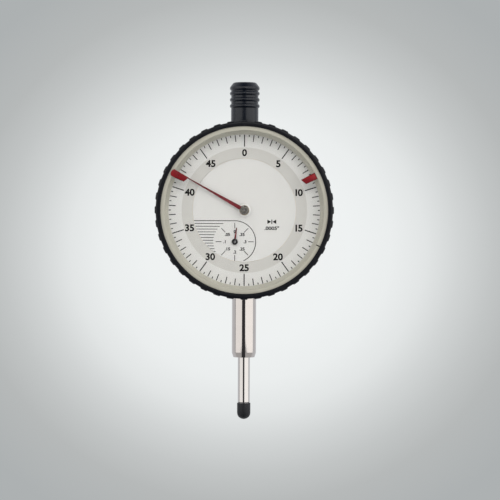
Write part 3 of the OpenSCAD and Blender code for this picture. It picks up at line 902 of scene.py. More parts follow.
BEZEL_BLACK = Moulded("bezel_black", shade(5, 7, 14), 0.36, wear=0.1, gloss=0.24, rubbed=shade(60, 61, 68))
CASE_BLACK = Moulded("case_black", shade(22, 23, 27), 0.5, grains_per_mm=3.5, grain_depth=0.012, wear=0.3,
                     rubbed=shade(96, 96, 100))
COVER_BLACK = Moulded("cover_black", shade(26, 27, 31), 0.42, grains_per_mm=3.5, grain_depth=0.012, wear=0.0,
                      handled=0.8)
CAP_BLACK = Moulded("cap_black", shade(9, 15, 25), 0.27, grains_per_mm=8.0, grain_depth=0.0015, wear=0.06,
                    gloss=0.38, handled=0.3, rubbed=shade(50, 54, 64))
GUARD_RUBBER = Moulded("guard_rubber", shade(12, 14, 19), 0.5, grains_per_mm=10.0, grain_depth=0.006,
                       wear=0.15, gloss=0.32, rubbed=shade(72, 72, 76))
GASKET_RUBBER = Moulded("gasket_rubber", shade(24, 24, 25), 0.7, wear=0.0, gloss=0.3)
FELT = Moulded("felt", shade(120, 112, 98), 0.95, grains_per_mm=14.0, grain_depth=0.05, wear=0.0, gloss=0.1)
RUBY = Lacquered("ruby", shade(150, 18, 52), 0.08, rim=shade(90, 6, 26), coat=0.6)
SHANK_STEEL = Machined("shank_steel", (0.50, 0.465, 0.44, 1.0), 0.05, lay=Lay.ROUND_SPINDLE, marks_per_mm=9.0,
                       mark_depth=0.0001, spread=0.02, tint=0.03)
SPINDLE_STEEL = Machined("spindle_steel", (0.52, 0.495, 0.475, 1.0), 0.04, lay=Lay.ROUND_SPINDLE,
                         marks_per_mm=12.0, mark_depth=0.00002, spread=0.02, tint=0.02)
SCREW_STEEL = Machined("screw_steel", (0.56, 0.55, 0.54, 1.0), 0.24, lay=Lay.BRUSHED)
TUBE_STEEL = Machined("tube_steel", (0.62, 0.61, 0.59, 1.0), 0.2, lay=Lay.ROUND_SPINDLE)
SPRING_STEEL = Machined("spring_steel", (0.58, 0.57, 0.56, 1.0), 0.25, lay=Lay.DRAWN)
BLUE_SPRING = Machined("blue_spring", (0.10, 0.16, 0.42, 1.0), 0.22, lay=Lay.BRUSHED, tint=0.2)
BRONZE = Machined("bronze", (0.58, 0.38, 0.22, 1.0), 0.3, lay=Lay.ROUND_SPINDLE)
BRASS = Machined("brass", (0.72, 0.53, 0.25, 1.0), 0.28, lay=Lay.BRUSHED, marks_per_mm=10.0, tint=0.1)
GEAR_BRASS = Machined("gear_brass", (0.78, 0.58, 0.28, 1.0), 0.22, lay=Lay.ROUND_DIAL, marks_per_mm=10.0)
HUB_METAL = Machined("hub_metal", (0.24, 0.225, 0.20, 1.0), 0.22, lay=Lay.ROUND_DIAL, marks_per_mm=12.0,
                     mark_depth=0.002)
HUB_BLACK = Lacquered("hub_black", shade(18, 18, 18), 0.3, rim=shade(30, 30, 30), coat=0.3)
BALL_STEEL = Machined("ball", (0.52, 0.52, 0.53, 1.0), 0.1, lay=Lay.ROUND_SPINDLE, marks_per_mm=30.0)
DIAL_WHITE = Enamelled("dial_white", shade(218, 218, 215), 0.5)
SCALE_WHITE = Enamelled("scale_white", shade(218, 218, 215), 0.5, band=shade(202, 201, 196), band_inner=16.0,
                        band_outer=20.5)
CONE_BEIGE = Enamelled("cone_beige", shade(188, 186, 173), 0.5, specks=1.0)
RIM_WHITE = Enamelled("rim_white", shade(246, 245, 241), 0.4, specks=0.2)
RING_BEIGE = Enamelled("ring_beige", shade(175, 172, 158), 0.42, specks=1.5)
PRINT_BLACK = Lacquered("print_black", shade(14, 14, 14), 0.6, rim=shade(12, 12, 12), coat=0.0, gloss=0.15)
PRINT_GREY = Lacquered("print_grey", shade(22, 22, 21), 0.6, rim=shade(20, 20, 20), coat=0.0, gloss=0.15)
MARKER_RED = Lacquered("marker_red", shade(152, 10, 22), 0.38, rim=shade(98, 6, 16), coat=0.05,
                       gloss=0.25)
POINTER_RED = Lacquered("pointer_red", shade(108, 12, 26), 0.35, rim=shade(78, 8, 18), coat=0.1,
                        gloss=0.3)
CRYSTAL = ClearCast("crystal", (1.0, 1.0, 1.0, 1.0), 0.0)


# ---- Sub-assemblies ----------------------------------------------------------------------------


@dataclass
class SubAssembly:
    """A group of pieces that is built and reported together."""

    ink: float = 0.03

    def hand_over(self, piece: Piece, body: str, finish: Finish, slot: str, *nodes: str) -> Piece:
        """Dresses a piece, lets it ride, hides the frame nodes that it replaces, and logs it.

        Args:
            piece: The piece.
            body: The body that it moves with.
            finish: What it is made of.
            slot: The name of a material slot; not used.
            *nodes: The frame nodes that it replaces.

        Returns:
            The piece.
        """
        finish.dress(piece)
        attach(piece, body)
        if nodes:
            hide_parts(*nodes)
        LOG.info("%s rides on %s: %d faces", piece.name, body, len(piece.data.polygons))
        return piece

    def build(self) -> None:
        """Builds the sub-assembly."""
        raise NotImplementedError


@dataclass
class Bezel(SubAssembly):
    """The ribbed ring that turns, with the scale, the crystal and the split ring that holds it."""

    outer_r: float = 29.2
    opening_r: float = 27.25
    inner_r: float = 27.06
    ledge_r: float = 25.9
    rib_height: float = 0.32
    ribs: int = 40
    flats_per_rib: int = 24
    lip: float = 0.45
    wire_seat: Point = (5.75, 6.65)
    wire_seat_depth: float = 0.44
    split_outer_r: float = 27.8
    split_lip_r: float = 27.0
    split_clock: float = 116.4
    split_width: float = 0.8
    tick_outer: float = 24.7
    tick_long: float = 20.8
    tick_medium: float = 22.5
    tick_short: float = 24.02
    tick_width: float = 0.29
    units: int = 50
    units_per_figure: int = 5
    figure_r: float = 18.8
    figure_height: float = 2.33

    def build(self) -> None:
        """Builds the ring, the split ring, the print and the glass."""
        self.ring()
        self.split_ring()
        self.scale_print()
        SCALE_WHITE.dress_nodes("scale_ring")
        CONE_BEIGE.dress_nodes("spacer_ring")
        GASKET_RUBBER.dress_nodes("crystal_gasket")
        CRYSTAL.dress_nodes("crystal")

    def ring(self) -> None:
        """Turns the ring, then presses the valleys in between its ribs."""
        back, front = back_of("bezel_ring"), front_of("bezel_ring")
        ledge = back_of("scale_ring")
        seat_back, seat_front = back_of("crystal_ring"), front_of("crystal_ring")
        wire_low, wire_high = self.wire_seat
        wire_r, pocket_r = self.inner_r + self.wire_seat_depth, self.split_outer_r + 0.05
        outline = [
            (self.inner_r, back, 0.1), (self.outer_r - 0.7, back, 0.2), (self.outer_r, back + 0.7, 0.25),
            (self.outer_r, front - 0.8, 0.25), (self.outer_r - 0.25, front - 0.25, 0.2),
            (self.outer_r - 0.8, front, 0.22), (self.opening_r, front, 0.12), (self.opening_r, seat_front),
            (pocket_r, seat_front), (pocket_r, seat_back), (self.opening_r, seat_back),
            (self.opening_r, ledge), (self.ledge_r, ledge), (self.ledge_r, ledge - self.lip),
            (self.inner_r, ledge - self.lip), (self.inner_r, wire_high),
            (wire_r, wire_high), (wire_r, wire_low), (self.inner_r, wire_low),
        ]
        centre = dial_centre()
        piece = turned("bezel", outline, Axis.DIAL, centre, steps=self.ribs * self.flats_per_rib)
        pick_up(piece)
        bpy.ops.object.mode_set(mode="EDIT")
        quarter, half = self.flats_per_rib // 4, self.flats_per_rib // 2
        for near, far, share in ((quarter, quarter, 0.5), (quarter + 1, half, 1.0)):
            select_where(piece, lambda co: self.in_valley(co, centre, near, far))
            squeeze = 1 - self.rib_height * share / self.outer_r
            bpy.ops.transform.resize(value=(squeeze, 1, squeeze), center_override=centre)
        self.hand_over(close_up(piece, 50), "bezel", BEZEL_BLACK, "bezel_black", "bezel_ring")

    def in_valley(self, place: Vector, centre: Vector, near: int, far: int) -> bool:
        """Whether a corner is on the ring's outside, in a band of the valley between two ribs.

        Args:
            place: Where the corner is.
            centre: The point that the ring was turned about.
            near: The flat, counted from the middle of a rib, where the band starts.
            far: The flat where it ends.

        Returns:
            True where it is in the band.
        """
        across, up = place.x - centre.x, place.z - centre.z
        flat = math.degrees(math.atan2(across, up)) * self.ribs * self.flats_per_rib / FULL_TURN
        off = abs((flat + self.flats_per_rib / 2) % self.flats_per_rib - self.flats_per_rib / 2)
        outside = math.hypot(across, up) / MM > self.outer_r - self.rib_height - 0.1
        return outside and near - 0.5 < off < far + 0.6

    def split_ring(self) -> None:
        """Turns the L-shaped ring that is sprung in over the crystal, with its slit."""
        back, front = back_of("crystal_ring"), front_of("crystal_ring")
        outline = [
            (self.split_lip_r, back, 0.05), (self.split_outer_r, back, 0.08),
            (self.split_outer_r, front, 0.12), (self.ledge_r + 0.15, front, 0.06),
            (self.ledge_r, front - 0.15, 0.05), (self.ledge_r, back + 0.4, 0.05),
            (self.split_lip_r, back + 0.4, 0.05),
        ]
        piece = turned("split_ring", outline, Axis.DIAL, dial_centre(), steps=240,
                       gap=(self.split_clock, self.split_width))
        self.hand_over(piece, "bezel", RING_BEIGE, "ring_beige", "crystal_ring")

    def scale_print(self) -> None:
        """Prints the ticks from one figure to the next, repeats them, and adds the figures."""
        base = front_of("scale_ring")
        unit = FULL_TURN / self.units
        marks = [(0, self.tick_long, self.tick_width * 1.15)]
        for index in range(self.units_per_figure):
            if index:
                marks.append((index, self.tick_medium, self.tick_width))
            marks.append((index + 0.5, self.tick_short, self.tick_width))
        ticks = []
        for at, inner, width in marks:
            ends = at_clock(inner, unit * at), at_clock(self.tick_outer, unit * at)
            ticks.append(stroke("tick", *ends, width, base, self.ink))
        group, count = joined("scale_ticks", ticks), self.units // self.units_per_figure
        all_ticks = repeated(group, dial_centre(), count, unit * self.units_per_figure)
        self.hand_over(all_ticks, "bezel", PRINT_BLACK, "dial_white")
        figures = [
            lettered("figure", str(value), self.figure_height, 1.05, 0.035,
                     at_clock(self.figure_r, unit * value), base, self.ink)
            for value in range(0, self.units, self.units_per_figure)
        ]
        self.hand_over(joined("scale_figures", figures), "bezel", PRINT_BLACK, "dial_white")


@dataclass
class Dial(SubAssembly):
    """The fixed middle of the dial, with the turn counter's print."""

    counter_r: float = 6.85
    counter_labels: tuple[str, ...] = ("0", ".05", ".1", ".15", ".2", ".25", ".3", ".35")
    counter_tick_inner: float = 4.35
    counter_tick_outer: float = 6.2
    counter_figure_r: float = 3.35
    counter_figure_height: float = 1.04
    line_width: float = 0.24
    hatch_lines: int = 11
    hatch_pitch: float = 0.915
    hatch_width: float = 0.2
    arc_end: int = 155
    arc_step: int = 5
    hole_r: float = 2.0
    hole_rim: float = 0.38
    graduation: Point = (9.0, -5.85)
    sign: Point = (9.0, -3.75)
    sign_half_height: float = 0.72
    sign_half_width: float = 1.45

    def build(self) -> None:
        """Builds the print and the rim of the middle hole."""
        DIAL_WHITE.dress_nodes("dial_disc")
        base = front_of("dial_disc")
        inner, outer = self.hole_r - self.hole_rim, self.hole_r + 0.08
        outline = [(inner, base - 0.2, 0.02), (inner, base + 0.16, 0.04), (outer, base + 0.06, 0.02),
                   (outer, base + 0.01), (self.hole_r - 0.02, base - 0.2)]
        rim = turned("dial_hole_rim", outline, Axis.DIAL, dial_centre(), steps=72)
        self.hand_over(rim, "case", RIM_WHITE, "dial_white")
        self.counter_print(base)
        self.hatching(base)
        self.signs(base)

    def counter_print(self, base: float) -> None:
        """Prints the counter's ticks and figures, which run against the clock.

        Args:
            base: Depth of the face that is printed on.
        """
        count = len(self.counter_labels)
        pitch = FULL_TURN / count
        ends = (0, self.counter_tick_inner), (0, self.counter_tick_outer)
        tick = stroke("tick", *ends, self.line_width * 0.9, base, self.ink, centre=COUNTER)
        ticks = repeated(tick, on_dial(*COUNTER, 0), count, pitch)
        self.hand_over(joined("counter_ticks", [ticks]), "case", PRINT_GREY, "dial_white")
        figures = []
        for index, words in enumerate(self.counter_labels):
            across, up = at_clock(self.counter_figure_r, -pitch * index)
            figures.append(lettered("figure", words, self.counter_figure_height, 1.08, 0.035,
                                    (COUNTER[0] + across, COUNTER[1] + up), base, self.ink))
        self.hand_over(joined("counter_figures", figures), "case", PRINT_BLACK, "dial_white")

    def hatching(self, base: float) -> None:
        """Prints the line that runs into the counter's arc, and the hatching left of the counter.

        Args:
            base: Depth of the face that is printed on.
        """
        edge = -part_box("dial_disc")[0].x / MM - 0.1
        across, up = COUNTER
        top = up + self.counter_r
        start = (-math.sqrt(edge ** 2 - top ** 2), top)
        lines = [stroke("line", start, (across, top), self.line_width, base, self.ink)]
        for index in range(1, self.hatch_lines + 1):
            level = top - self.hatch_pitch * index
            left = -math.sqrt(max(edge ** 2 - level ** 2, 0.0))
            right = across - math.sqrt(max((self.counter_r + 0.15) ** 2 - (level - up) ** 2, 0.0))
            if right - left > 0.4:
                lines.append(stroke("line", (left, level), (right, level), self.hatch_width, base, self.ink))
        self.hand_over(joined("dial_lines", lines), "case", PRINT_GREY, "dial_white")
        half = self.line_width / 2
        clocks = range(0, self.arc_end + 1, self.arc_step)
        band = [at_clock(self.counter_r + half, clock) for clock in clocks]
        band += [at_clock(self.counter_r - half, clock) for clock in reversed(clocks)]
        arc = plate("counter_arc", band, base - self.ink / 2, base + self.ink, centre=COUNTER)
        self.hand_over(arc, "case", PRINT_GREY, "dial_white")

    def signs(self, base: float) -> None:
        """Prints the graduation and the sign above it.

        Args:
            base: Depth of the face that is printed on.
        """
        value = lettered("graduation", ".0005\"", 1.24, 1.2, 0.03, self.graduation, base, self.ink)
        across, up = self.sign
        high, low = up + self.sign_half_height, up - self.sign_half_height
        parts = [value, stroke("bar", (across, low), (across, high), 0.3, base, self.ink)]
        for side in (-1, 1):
            foot = across + side * self.sign_half_width
            arrow = [(across + side * 0.22, up), (foot, high), (foot, low)]
            parts.append(plate("arrow", arrow, base - self.ink / 2, base + self.ink))
        self.hand_over(joined("dial_signs", parts), "case", PRINT_BLACK, "dial_white")


@dataclass
class Marker(SubAssembly):
    """A tolerance marker that slides between the crystal and the split ring."""

    body: str = "left_marker"
    node: str = "marker_left"
    clock: float = -59.8
    hand: int = -1
    has_head: bool = True
    inner: float = 20.9
    inner_far: float = 21.7
    width: float = 2.0
    width_far: float = 2.42
    far_r: float = 28.0
    foot_r: float = 26.85
    body_r: float = 25.75
    foot_t: float = 0.25
    body_t: float = 0.75
    head_t: float = 0.3
    head_r: float = 1.55
    head_place: Point = (1.15, 25.3)
    head_low: float = 24.4
    head_width: float = 2.35
    arc_steps: int = 6

    def outline(self, reach: float) -> list[Point]:
        """The marker's outline out to a radius, before it is turned to its place.

        Args:
            reach: The radius in millimetres.

        Returns:
            The corners.
        """
        end = math.degrees(math.asin(self.width_far / self.far_r))
        arc = [at_clock(reach, clock) for clock in stepped(end, 0, self.arc_steps)]
        return [(0, self.inner), (self.width, self.inner_far)] + arc

    def build(self) -> None:
        """Cuts the marker's layers and turns them to its reading."""
        back = back_of(self.node)
        layers = [plate("foot", self.outline(self.foot_r), back, back + self.foot_t, 0.04),
                  plate("body", self.outline(self.body_r), back + 0.04, back + self.body_t, 0.14)]
        if self.has_head:
            x, y = self.head_place
            high = math.degrees(math.acos((self.head_width - x) / self.head_r))
            low = math.degrees(math.acos(-x / self.head_r))
            arc = map(math.radians, stepped(high, low, self.arc_steps))
            head = [(0, self.head_low), (self.head_width, self.head_low)]
            head += [(x + self.head_r * math.cos(turn), y + self.head_r * math.sin(turn)) for turn in arc]
            top = back + self.body_t
            layers.append(plate("head", head, top - 0.05, top + self.head_t, 0.09))
        piece = joined(self.node + "_piece", layers)
        if self.hand < 0:
            pick_up(piece)
            piece.scale.x = -1
            apply_moves()
            bpy.ops.object.mode_set(mode="EDIT")
            close_up(piece)
        swing(piece, dial_centre(), self.clock)
        self.hand_over(piece, self.body, MARKER_RED, "marker_red", self.node)


@dataclass
class Pointers(SubAssembly):
    """The long and the short pointer on their hubs."""

    clock: float = -60.5
    small_clock: float = 7.5
    hub_r: float = 1.5
    long_r: float = 1.4
    long_tip: float = 23.3
    small_r: float = 0.95
    small_tip: float = 4.65

    @staticmethod
    def blade(boss: float, half_root: float, half_mid: float, mid: float, half_tip: float,
              tip: float) -> list[Point]:
        """The outline of a pointer with a round boss.

        Args:
            boss: Radius of the boss.
            half_root: Half the width where the blade leaves the boss.
            half_mid: Half the width part of the way out.
            mid: The radius of that place.
            half_tip: Half the width at the tip.
            tip: Radius of the tip.

        Returns:
            The corners.
        """
        start = math.degrees(math.asin(half_root / boss))
        arc = [at_clock(boss, clock) for clock in stepped(start, FULL_TURN - start, 28)]
        return arc + [(-half_mid, mid), (-half_tip, tip), (half_tip, tip), (half_mid, mid)]

    def build(self) -> None:
        """Cuts both pointers and turns both hubs."""
        back, front = back_of("main_pointer"), front_of("main_pointer")
        blade = self.blade(self.long_r, half_root=0.66, half_mid=0.36, mid=12, half_tip=0.13,
                           tip=self.long_tip)
        long = plate("long_pointer", blade, back, front, 0.05)
        swing(long, dial_centre(), self.clock)
        self.hand_over(long, "pointer_arbor", POINTER_RED, "pointer_red", "main_pointer")
        hub_back, hub_front = back_of("pointer_hub"), front_of("pointer_hub")
        outline = [(0.4, hub_back), (1.1, hub_back, 0.05), (1.1, back), (0.8, back), (0.8, front),
                   (self.hub_r, front, 0.05), (self.hub_r, hub_front - 0.35, 0.15),
                   (self.hub_r - 0.3, hub_front, 0.15), (0.62, hub_front, 0.06), (0.4, hub_front - 0.25)]
        hub = turned("long_hub", outline, Axis.DIAL, dial_centre(), steps=96)
        self.hand_over(hub, "pointer_arbor", HUB_METAL, "hub_metal", "pointer_hub")
        back, front = back_of("small_pointer"), front_of("small_pointer")
        blade = self.blade(self.small_r, half_root=0.29, half_mid=0.22, mid=2.6, half_tip=0.12,
                           tip=self.small_tip)
        short = plate("short_pointer", blade, back, front, 0.03, COUNTER)
        swing(short, on_dial(*COUNTER, 0), self.small_clock)
        self.hand_over(short, "counter_arbor", POINTER_RED, "pointer_red", "small_pointer")
        hub_back, hub_front = back_of("small_pointer_hub"), front_of("small_pointer_hub")
        outline = [(0.35, hub_back), (0.6, hub_back), (0.6, front), (1.0, front, 0.03),
                   (1.0, hub_front - 0.12, 0.06), (0.82, hub_front, 0.06), (0.35, hub_front, 0.04)]
        hub = turned("short_hub", outline, Axis.DIAL, on_dial(*COUNTER, 0), steps=72)
        self.hand_over(hub, "counter_arbor", HUB_BLACK, "hub_black", "small_pointer_hub")
        TUBE_STEEL.dress_nodes("centre_arbor", "rack_pinion_arbor")


@dataclass
class Plunger(SubAssembly):
    """What slides: the spindle, its contact, the guard and the lifting cap, and the measuring spring."""

    cap_r: float = 4.53
    neck_r: float = 4.5
    ridge_r: float = 4.93
    ridge_round: float = 0.75
    ridge_pitch: float = 2.06
    ridges: int = 3
    first_ridge: float = 3.82
    skirt: float = 9.2
    arc_steps: int = 12
    cavity_r: float = 3.75
    guard_r: float = 2.2
    guard_nose: float = 1.98
    guard_mouth_r: float = 1.8
    guard_mouth: float = 2.8
    contact_r: float = 1.55
    contact_seat: float = 4.65
    spring_r: float = 1.3
    spring_wire: float = 0.13
    spring_coils: int = 22

    def build(self) -> None:
        """Turns the cap and the guard, winds the spring, and dresses the rest."""
        self.cap()
        self.guard()
        self.spring()
        SPINDLE_STEEL.dress_nodes("spindle", "guide_rod")
        BALL_STEEL.dress_nodes("contact_ball")
        SCREW_STEEL.dress_nodes("contact_point", "guide_arm_screw", "cap_stop_washer")
        BRASS.dress_nodes("guide_arm", "cap_insert")

    def cap(self) -> None:
        """Turns the lifting cap with its finger ridges and its hollow."""
        low, high = (corner.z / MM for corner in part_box("lifting_cap"))
        ridge_centre = self.ridge_r - self.ridge_round
        reach = math.degrees(math.acos((self.neck_r - ridge_centre) / self.ridge_round))
        outline: list[Corner] = [
            (self.cavity_r, low, 0.06), (self.cap_r - 0.2, low, 0.08), (self.cap_r, low + 0.2, 0.08),
            (self.cap_r, high - self.skirt), (self.neck_r, high - self.skirt),
        ]
        for index in reversed(range(self.ridges)):
            level = high - self.first_ridge - index * self.ridge_pitch
            for turn in map(math.radians, stepped(-reach, reach, self.arc_steps)):
                outline.append((ridge_centre + self.ridge_round * math.cos(turn),
                                level + self.ridge_round * math.sin(turn)))
        outline += [
            (self.neck_r, high - 2.86, 0.05), (self.ridge_r - 0.18, high - 2.66, 0.08),
            (self.ridge_r, high - 2.3, 0.1), (self.ridge_r, high - 2.05, 0.12),
            (self.ridge_r - 0.1, high - 1.65, 0.15), (self.ridge_r - 1.05, high - 0.36, 0.2),
            (self.ridge_r - 1.5, high - 0.14, 0.15), (0, high),
        ]
        inside: list[Corner] = [
            (0, high - 0.7), (2.6, high - 0.7), (2.6, high - 2.4), (self.cavity_r, high - 2.4),
        ]
        piece = turned("cap", inside + outline, Axis.SPINDLE, Vector((0, 0, 0)), steps=128, closed=False)
        self.hand_over(piece, "plunger", CAP_BLACK, "cap_black", "lifting_cap")

    def guard(self) -> None:
        """Turns the soft guard over the contact."""
        low, high = (corner.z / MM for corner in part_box("tip_guard"))
        nose = low + self.guard_nose
        outline: list[Corner] = [(0, low)]
        for turn in map(math.radians, stepped(0, 90, self.arc_steps)[1:-1]):
            outline.append((0.985 * self.guard_r * math.sin(turn),
                            nose - 0.995 * self.guard_nose * math.cos(turn)))
        outline += [
            (self.guard_r, nose + 0.1), (self.guard_r, high, 0.12), (self.guard_mouth_r, high, 0.05),
            (self.guard_mouth_r, high - self.guard_mouth), (self.contact_r, high - self.guard_mouth),
            (self.contact_r, high - self.contact_seat), (0, high - self.contact_seat),
        ]
        piece = turned("guard", outline, Axis.SPINDLE, Vector((0, 0, 0)), steps=96, closed=False)
        self.hand_over(piece, "plunger", GUARD_RUBBER, "guard_rubber", "tip_guard")

    def spring(self) -> None:
        """Winds the spring that stretches from its post in the case to the guide arm."""
        low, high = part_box("measuring_spring")
        centre = Vector(((low.x + high.x) / 2, (low.y + high.y) / 2, low.z + self.spring_wire * MM))
        put_down_all()
        bpy.ops.mesh.primitive_circle_add(vertices=8, radius=self.spring_wire * MM, location=(0, 0, 0),
                                          rotation=(math.radians(90), 0, 0), fill_type="NGON")
        piece = bpy.context.object
        apply_moves()
        edit_all()
        bpy.ops.transform.translate(value=(self.spring_r * MM, 0, 0))
        bpy.ops.object.mode_set(mode="OBJECT")
        winding = piece.modifiers.new("winding", "SCREW")
        winding.axis = "Z"
        winding.angle = math.radians(FULL_TURN)
        winding.iterations = self.spring_coils
        winding.screw_offset = ((high.z - low.z) - 2 * self.spring_wire * MM) / self.spring_coils
        winding.steps = winding.render_steps = 24
        winding.use_merge_vertices = True
        winding.merge_threshold = MERGE_GAP
        bpy.ops.object.modifier_apply(modifier=winding.name)
        piece.name = piece.data.name = "spring"
        piece.location = centre
        apply_moves()
        bpy.ops.object.mode_set(mode="EDIT")
        bpy.ops.mesh.select_mode(type="VERT")
        bpy.ops.mesh.select_all(action="DESELECT")
        bpy.ops.mesh.select_non_manifold()
        bpy.ops.mesh.fill_holes(sides=0)
        close_up(piece, 60)
        SPRING_STEEL.dress(piece)
        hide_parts("measuring_spring")
        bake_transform(piece)
        LOG.info("spring is blended from the case to the plunger: %d faces", len(piece.data.polygons))


@dataclass
class Case(SubAssembly):
    """The case, its rear cover and the mounting shank."""

    shank_r: float = 4.0
    bore_r: float = 2.9
    neck_r: float = 3.8
    neck_at: float = 9.0
    chamfer: float = 0.45
    chamfer_length: float = 1.5

    def build(self) -> None:
        """Turns the shank and dresses the frame's own nodes."""
        low, high = (corner.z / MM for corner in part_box("mounting_shank"))
        outline = [
            (self.bore_r, low, 0.1), (self.shank_r - self.chamfer, low, 0.12),
            (self.shank_r, low + self.chamfer_length, 0.15), (self.shank_r, self.neck_at),
            (self.neck_r, self.neck_at), (self.neck_r, high), (self.bore_r, high),
        ]
        shank = turned("shank", outline, Axis.SPINDLE, Vector((0, 0, 0)), steps=192)
        self.hand_over(shank, "case", SHANK_STEEL, "shank_steel", "mounting_shank")
        CASE_BLACK.dress_nodes("case_body")
        COVER_BLACK.dress_nodes("rear_cover")
        GASKET_RUBBER.dress_nodes("cover_gasket")
        SCREW_STEEL.dress_nodes("cover_screws", "plate_screws", "bridge_screws", "cock_screws")
        TUBE_STEEL.dress_nodes("upper_guide_tube")
        BRONZE.dress_nodes("lower_bush", "upper_bush")
        FELT.dress_nodes("shank_seal")
        SPRING_STEEL.dress_nodes("bezel_retaining_spring")


@dataclass
class Movement(SubAssembly):
    """The gear train between its plate, bridge and cock."""

    def build(self) -> None:
        """Dresses the plates, the wheels, the bearings and the hairspring."""
        BRASS.dress_nodes("movement_plate", "front_bridge", "bridge_pillars", "rear_cock", "cock_posts",
                          "guide_rod_holders", "spring_post", "hairspring_stud", "hairspring_collet",
                          "dial_seat", "dial_feet")
        GEAR_BRASS.dress_nodes("counter_wheel", "hairspring_wheel")
        TUBE_STEEL.dress_nodes("hairspring_arbor")
        RUBY.dress_nodes("jewel_bearings")
        BLUE_SPRING.dress_nodes("hairspring")


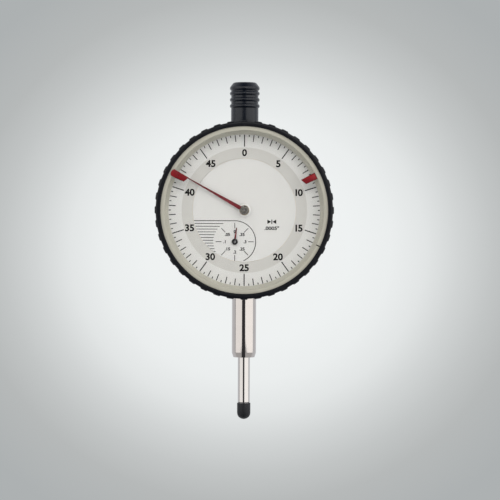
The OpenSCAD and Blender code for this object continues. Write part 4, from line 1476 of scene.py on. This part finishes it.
@dataclass
class Studio:
    """The room: a pale floor and wall, soft lamps and the camera.

    Its sizes and places are metres, but the point that the camera aims at is in millimetres.
    """

    aim: tuple[float, float, float] = (1.90, 0.0, 24.93)
    azimuth: float = 0.0
    elevation: float = 0.5
    roll: float = 0.2
    reach: float = 0.8
    lens: float = 174.2
    floor_level: float = -0.3
    wall_depth: float = 1.5
    box_azimuth: float = 53.0
    box_reach: float = 1.0
    box_height: float = 1.5
    box_level: float = 0.62
    key_lift: float = 31.0
    key_reach: float = 1.6
    dark_gap: Point = (-0.342, 0.208)
    backdrop: Colour = shade(173, 177, 178)

    def build(self) -> None:
        """Sets up the view, the room and the lamps."""
        scene = bpy.context.scene
        scene.view_settings.view_transform = "Standard"
        scene.view_settings.look = "None"
        self.world(scene)
        self.camera(scene)
        self.room()
        self.softbox("left_box", -self.box_azimuth, 1.35, 1.08)
        self.softbox("right_box", self.box_azimuth, 1.75, 1.3)
        self.key()

    def world(self, scene: bpy.types.Scene) -> None:
        """Lights the room, more from behind and below than from the front, where a dark gap stands.

        The camera sees a plain backdrop in place of this light.

        Args:
            scene: The scene that is lit.
        """
        scene.world = bpy.data.worlds.new("room_light")
        scene.world.use_nodes = True
        scene.world.node_tree.nodes.clear()
        wires = Wiring(scene.world.node_tree)
        split = wires.add("SeparateXYZ", {0: wires.add("TexCoord").outputs["Generated"]})
        left, right = self.dark_gap
        gap = wires.sum_up("MULTIPLY", wires.fit(split.outputs["X"], left - 0.02, left + 0.02),
                           wires.fit(split.outputs["X"], right - 0.02, right + 0.02, 1.0, 0.0))
        gap = wires.sum_up("MULTIPLY", gap, wires.fit(split.outputs["Y"], -0.1, 0.1, 1.0, 0.0))
        behind = wires.fit(split.outputs["Y"], 0.0, 0.12)
        below = wires.fit(split.outputs["Z"], -0.25, -0.05, 1.0, 0.0)
        front = wires.blend(below, (0.37, 0.38, 0.4, 1.0), (0.66, 0.66, 0.67, 1.0))
        room = wires.blend(behind, front, (0.84, 0.86, 0.9, 1.0))
        lit = wires.blend(gap, room, (0.055, 0.055, 0.06, 1.0))
        colour = wires.blend(wires.add("LightPath").outputs["Is Camera Ray"], lit, self.backdrop)
        wires.add("OutputWorld", {"Surface": wires.add("Background", {"Color": colour}).outputs[0]})

    def camera(self, scene: bpy.types.Scene) -> None:
        """Stands the camera before the dial, almost level.

        Args:
            scene: The scene that is seen.
        """
        aim = Vector(self.aim) * MM
        turn, lift = math.radians(self.azimuth), math.radians(self.elevation)
        away = Vector((math.sin(turn) * math.cos(lift), -math.cos(turn) * math.cos(lift), math.sin(lift)))
        data = bpy.data.cameras.new("view")
        data.lens = self.lens
        data.sensor_width = 36.0
        data.clip_start = 0.01
        data.clip_end = 20.0
        camera = bpy.data.objects.new("view", data)
        scene.collection.objects.link(camera)
        look = (-away).to_track_quat("-Z", "Y").to_matrix().to_4x4()
        camera.matrix_world = (Matrix.Translation(aim + away * self.reach) @ look
                               @ Matrix.Rotation(math.radians(self.roll), 4, "Z"))
        scene.camera = camera

    def room(self) -> None:
        """Lays the floor and hangs the wall behind."""
        put_down_all()
        bpy.ops.mesh.primitive_plane_add(size=8, location=(0, 0, self.floor_level))
        floor = bpy.context.object
        floor.name = "floor"
        Enamelled("floor_paint", shade(232, 232, 232), 0.8).dress(floor)
        floor.visible_glossy = False
        put_down_all()
        bpy.ops.mesh.primitive_plane_add(size=2, location=(0, self.wall_depth, 0.15),
                                         rotation=(math.radians(90), 0, 0))
        wall = bpy.context.object
        wall.name = "wall"
        apply_moves()
        wall.data.materials.append(self.wall_paint())
        wall.visible_diffuse = wall.visible_glossy = wall.visible_shadow = False

    def wall_paint(self) -> bpy.types.Material:
        """A wall that glows with a painted pool of light in its middle, which falls off towards its sides; no
        lamp lights it.

        Returns:
            The material.
        """
        made = bpy.data.materials.new("wall_paint")
        made.use_nodes = True
        made.node_tree.nodes.clear()
        wires = Wiring(made.node_tree)
        split = wires.add("SeparateXYZ", {0: wires.place()})
        up = wires.sum_up("MULTIPLY", wires.sum_up("SUBTRACT", split.outputs["Z"], 0.012), 1.1)
        radius = wires.length(split.outputs["X"], up)
        # Painted light: the ramp paints the bright middle and its falloff towards the wall's edges.
        ramp = wires.add("ValToRGB", {0: wires.sum_up("DIVIDE", radius, 0.325)})
        stops = ramp.color_ramp.elements
        stops[0].position, stops[0].color = 0.0, shade(241, 242, 241)
        stops[1].position, stops[1].color = 1.0, self.backdrop
        for position, level in ((0.3, 241), (0.42, 237), (0.52, 228), (0.62, 211), (0.72, 196), (0.82, 184)):
            stop = stops.new(position)
            stop.color = shade(level - 2, level + 1, level + 1)
        # The wall glows with this painted light and lights nothing else.
        glow = wires.add("Emission", {"Color": ramp.outputs[0], "Strength": 1.0})
        wires.add("OutputMaterial", {"Surface": glow.outputs[0]})
        return made

    def lamp(self, name: str, place: Vector, aim: Vector, size: tuple[float, float], glow: float) -> None:
        """Hangs a soft rectangular lamp.

        Args:
            name: Its name.
            place: Where it hangs.
            aim: What it faces.
            size: Its width and height in metres.
            glow: How bright its face looks, where 1 is white.
        """
        data = bpy.data.lights.new(name, "AREA")
        data.shape = "RECTANGLE"
        data.size, data.size_y = size
        data.energy = glow * math.pi * size[0] * size[1]
        data.color = (1.0, 0.985, 0.96)
        lamp = bpy.data.objects.new(name, data)
        bpy.context.scene.collection.objects.link(lamp)
        lamp.location = place
        lamp.rotation_euler = (aim - place).to_track_quat("-Z", "Y").to_euler()
        lamp.visible_camera = False

    def softbox(self, name: str, azimuth: float, width: float, glow: float) -> None:
        """Stands an upright softbox at an angle from the dial's front.

        Args:
            name: Its name.
            azimuth: The angle in degrees, to the right.
            width: Its width in metres.
            glow: How bright its face looks.
        """
        turn = math.radians(azimuth)
        place = Vector((math.sin(turn) * self.box_reach, -math.cos(turn) * self.box_reach, self.box_level))
        self.lamp(name, place, Vector((0, 0, self.box_level)), (width, self.box_height), glow)

    def key(self) -> None:
        """Hangs the main lamp above the camera, so that the rim shades the top of the dial."""
        lift, aim = math.radians(self.key_lift), Vector((0, 0, 0.03))
        away = Vector((0.05, -self.key_reach * math.cos(lift), self.key_reach * math.sin(lift)))
        self.lamp("key", aim + away, aim, (0.9, 0.5), 3.2)


def main() -> None:
    """Builds the looks in the frame."""
    logging.basicConfig(level=logging.INFO, format="%(message)s")
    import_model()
    for part in (
        Case(),
        Movement(),
        Dial(),
        Bezel(),
        Marker(),
        Marker(body="right_marker", node="marker_right", clock=61.7, hand=1, has_head=False),
        Pointers(),
        Plunger(),
    ):
        part.build()
        LOG.info("built %s", type(part).__name__)
    Studio().build()


if __name__ == "__main__":
    main()
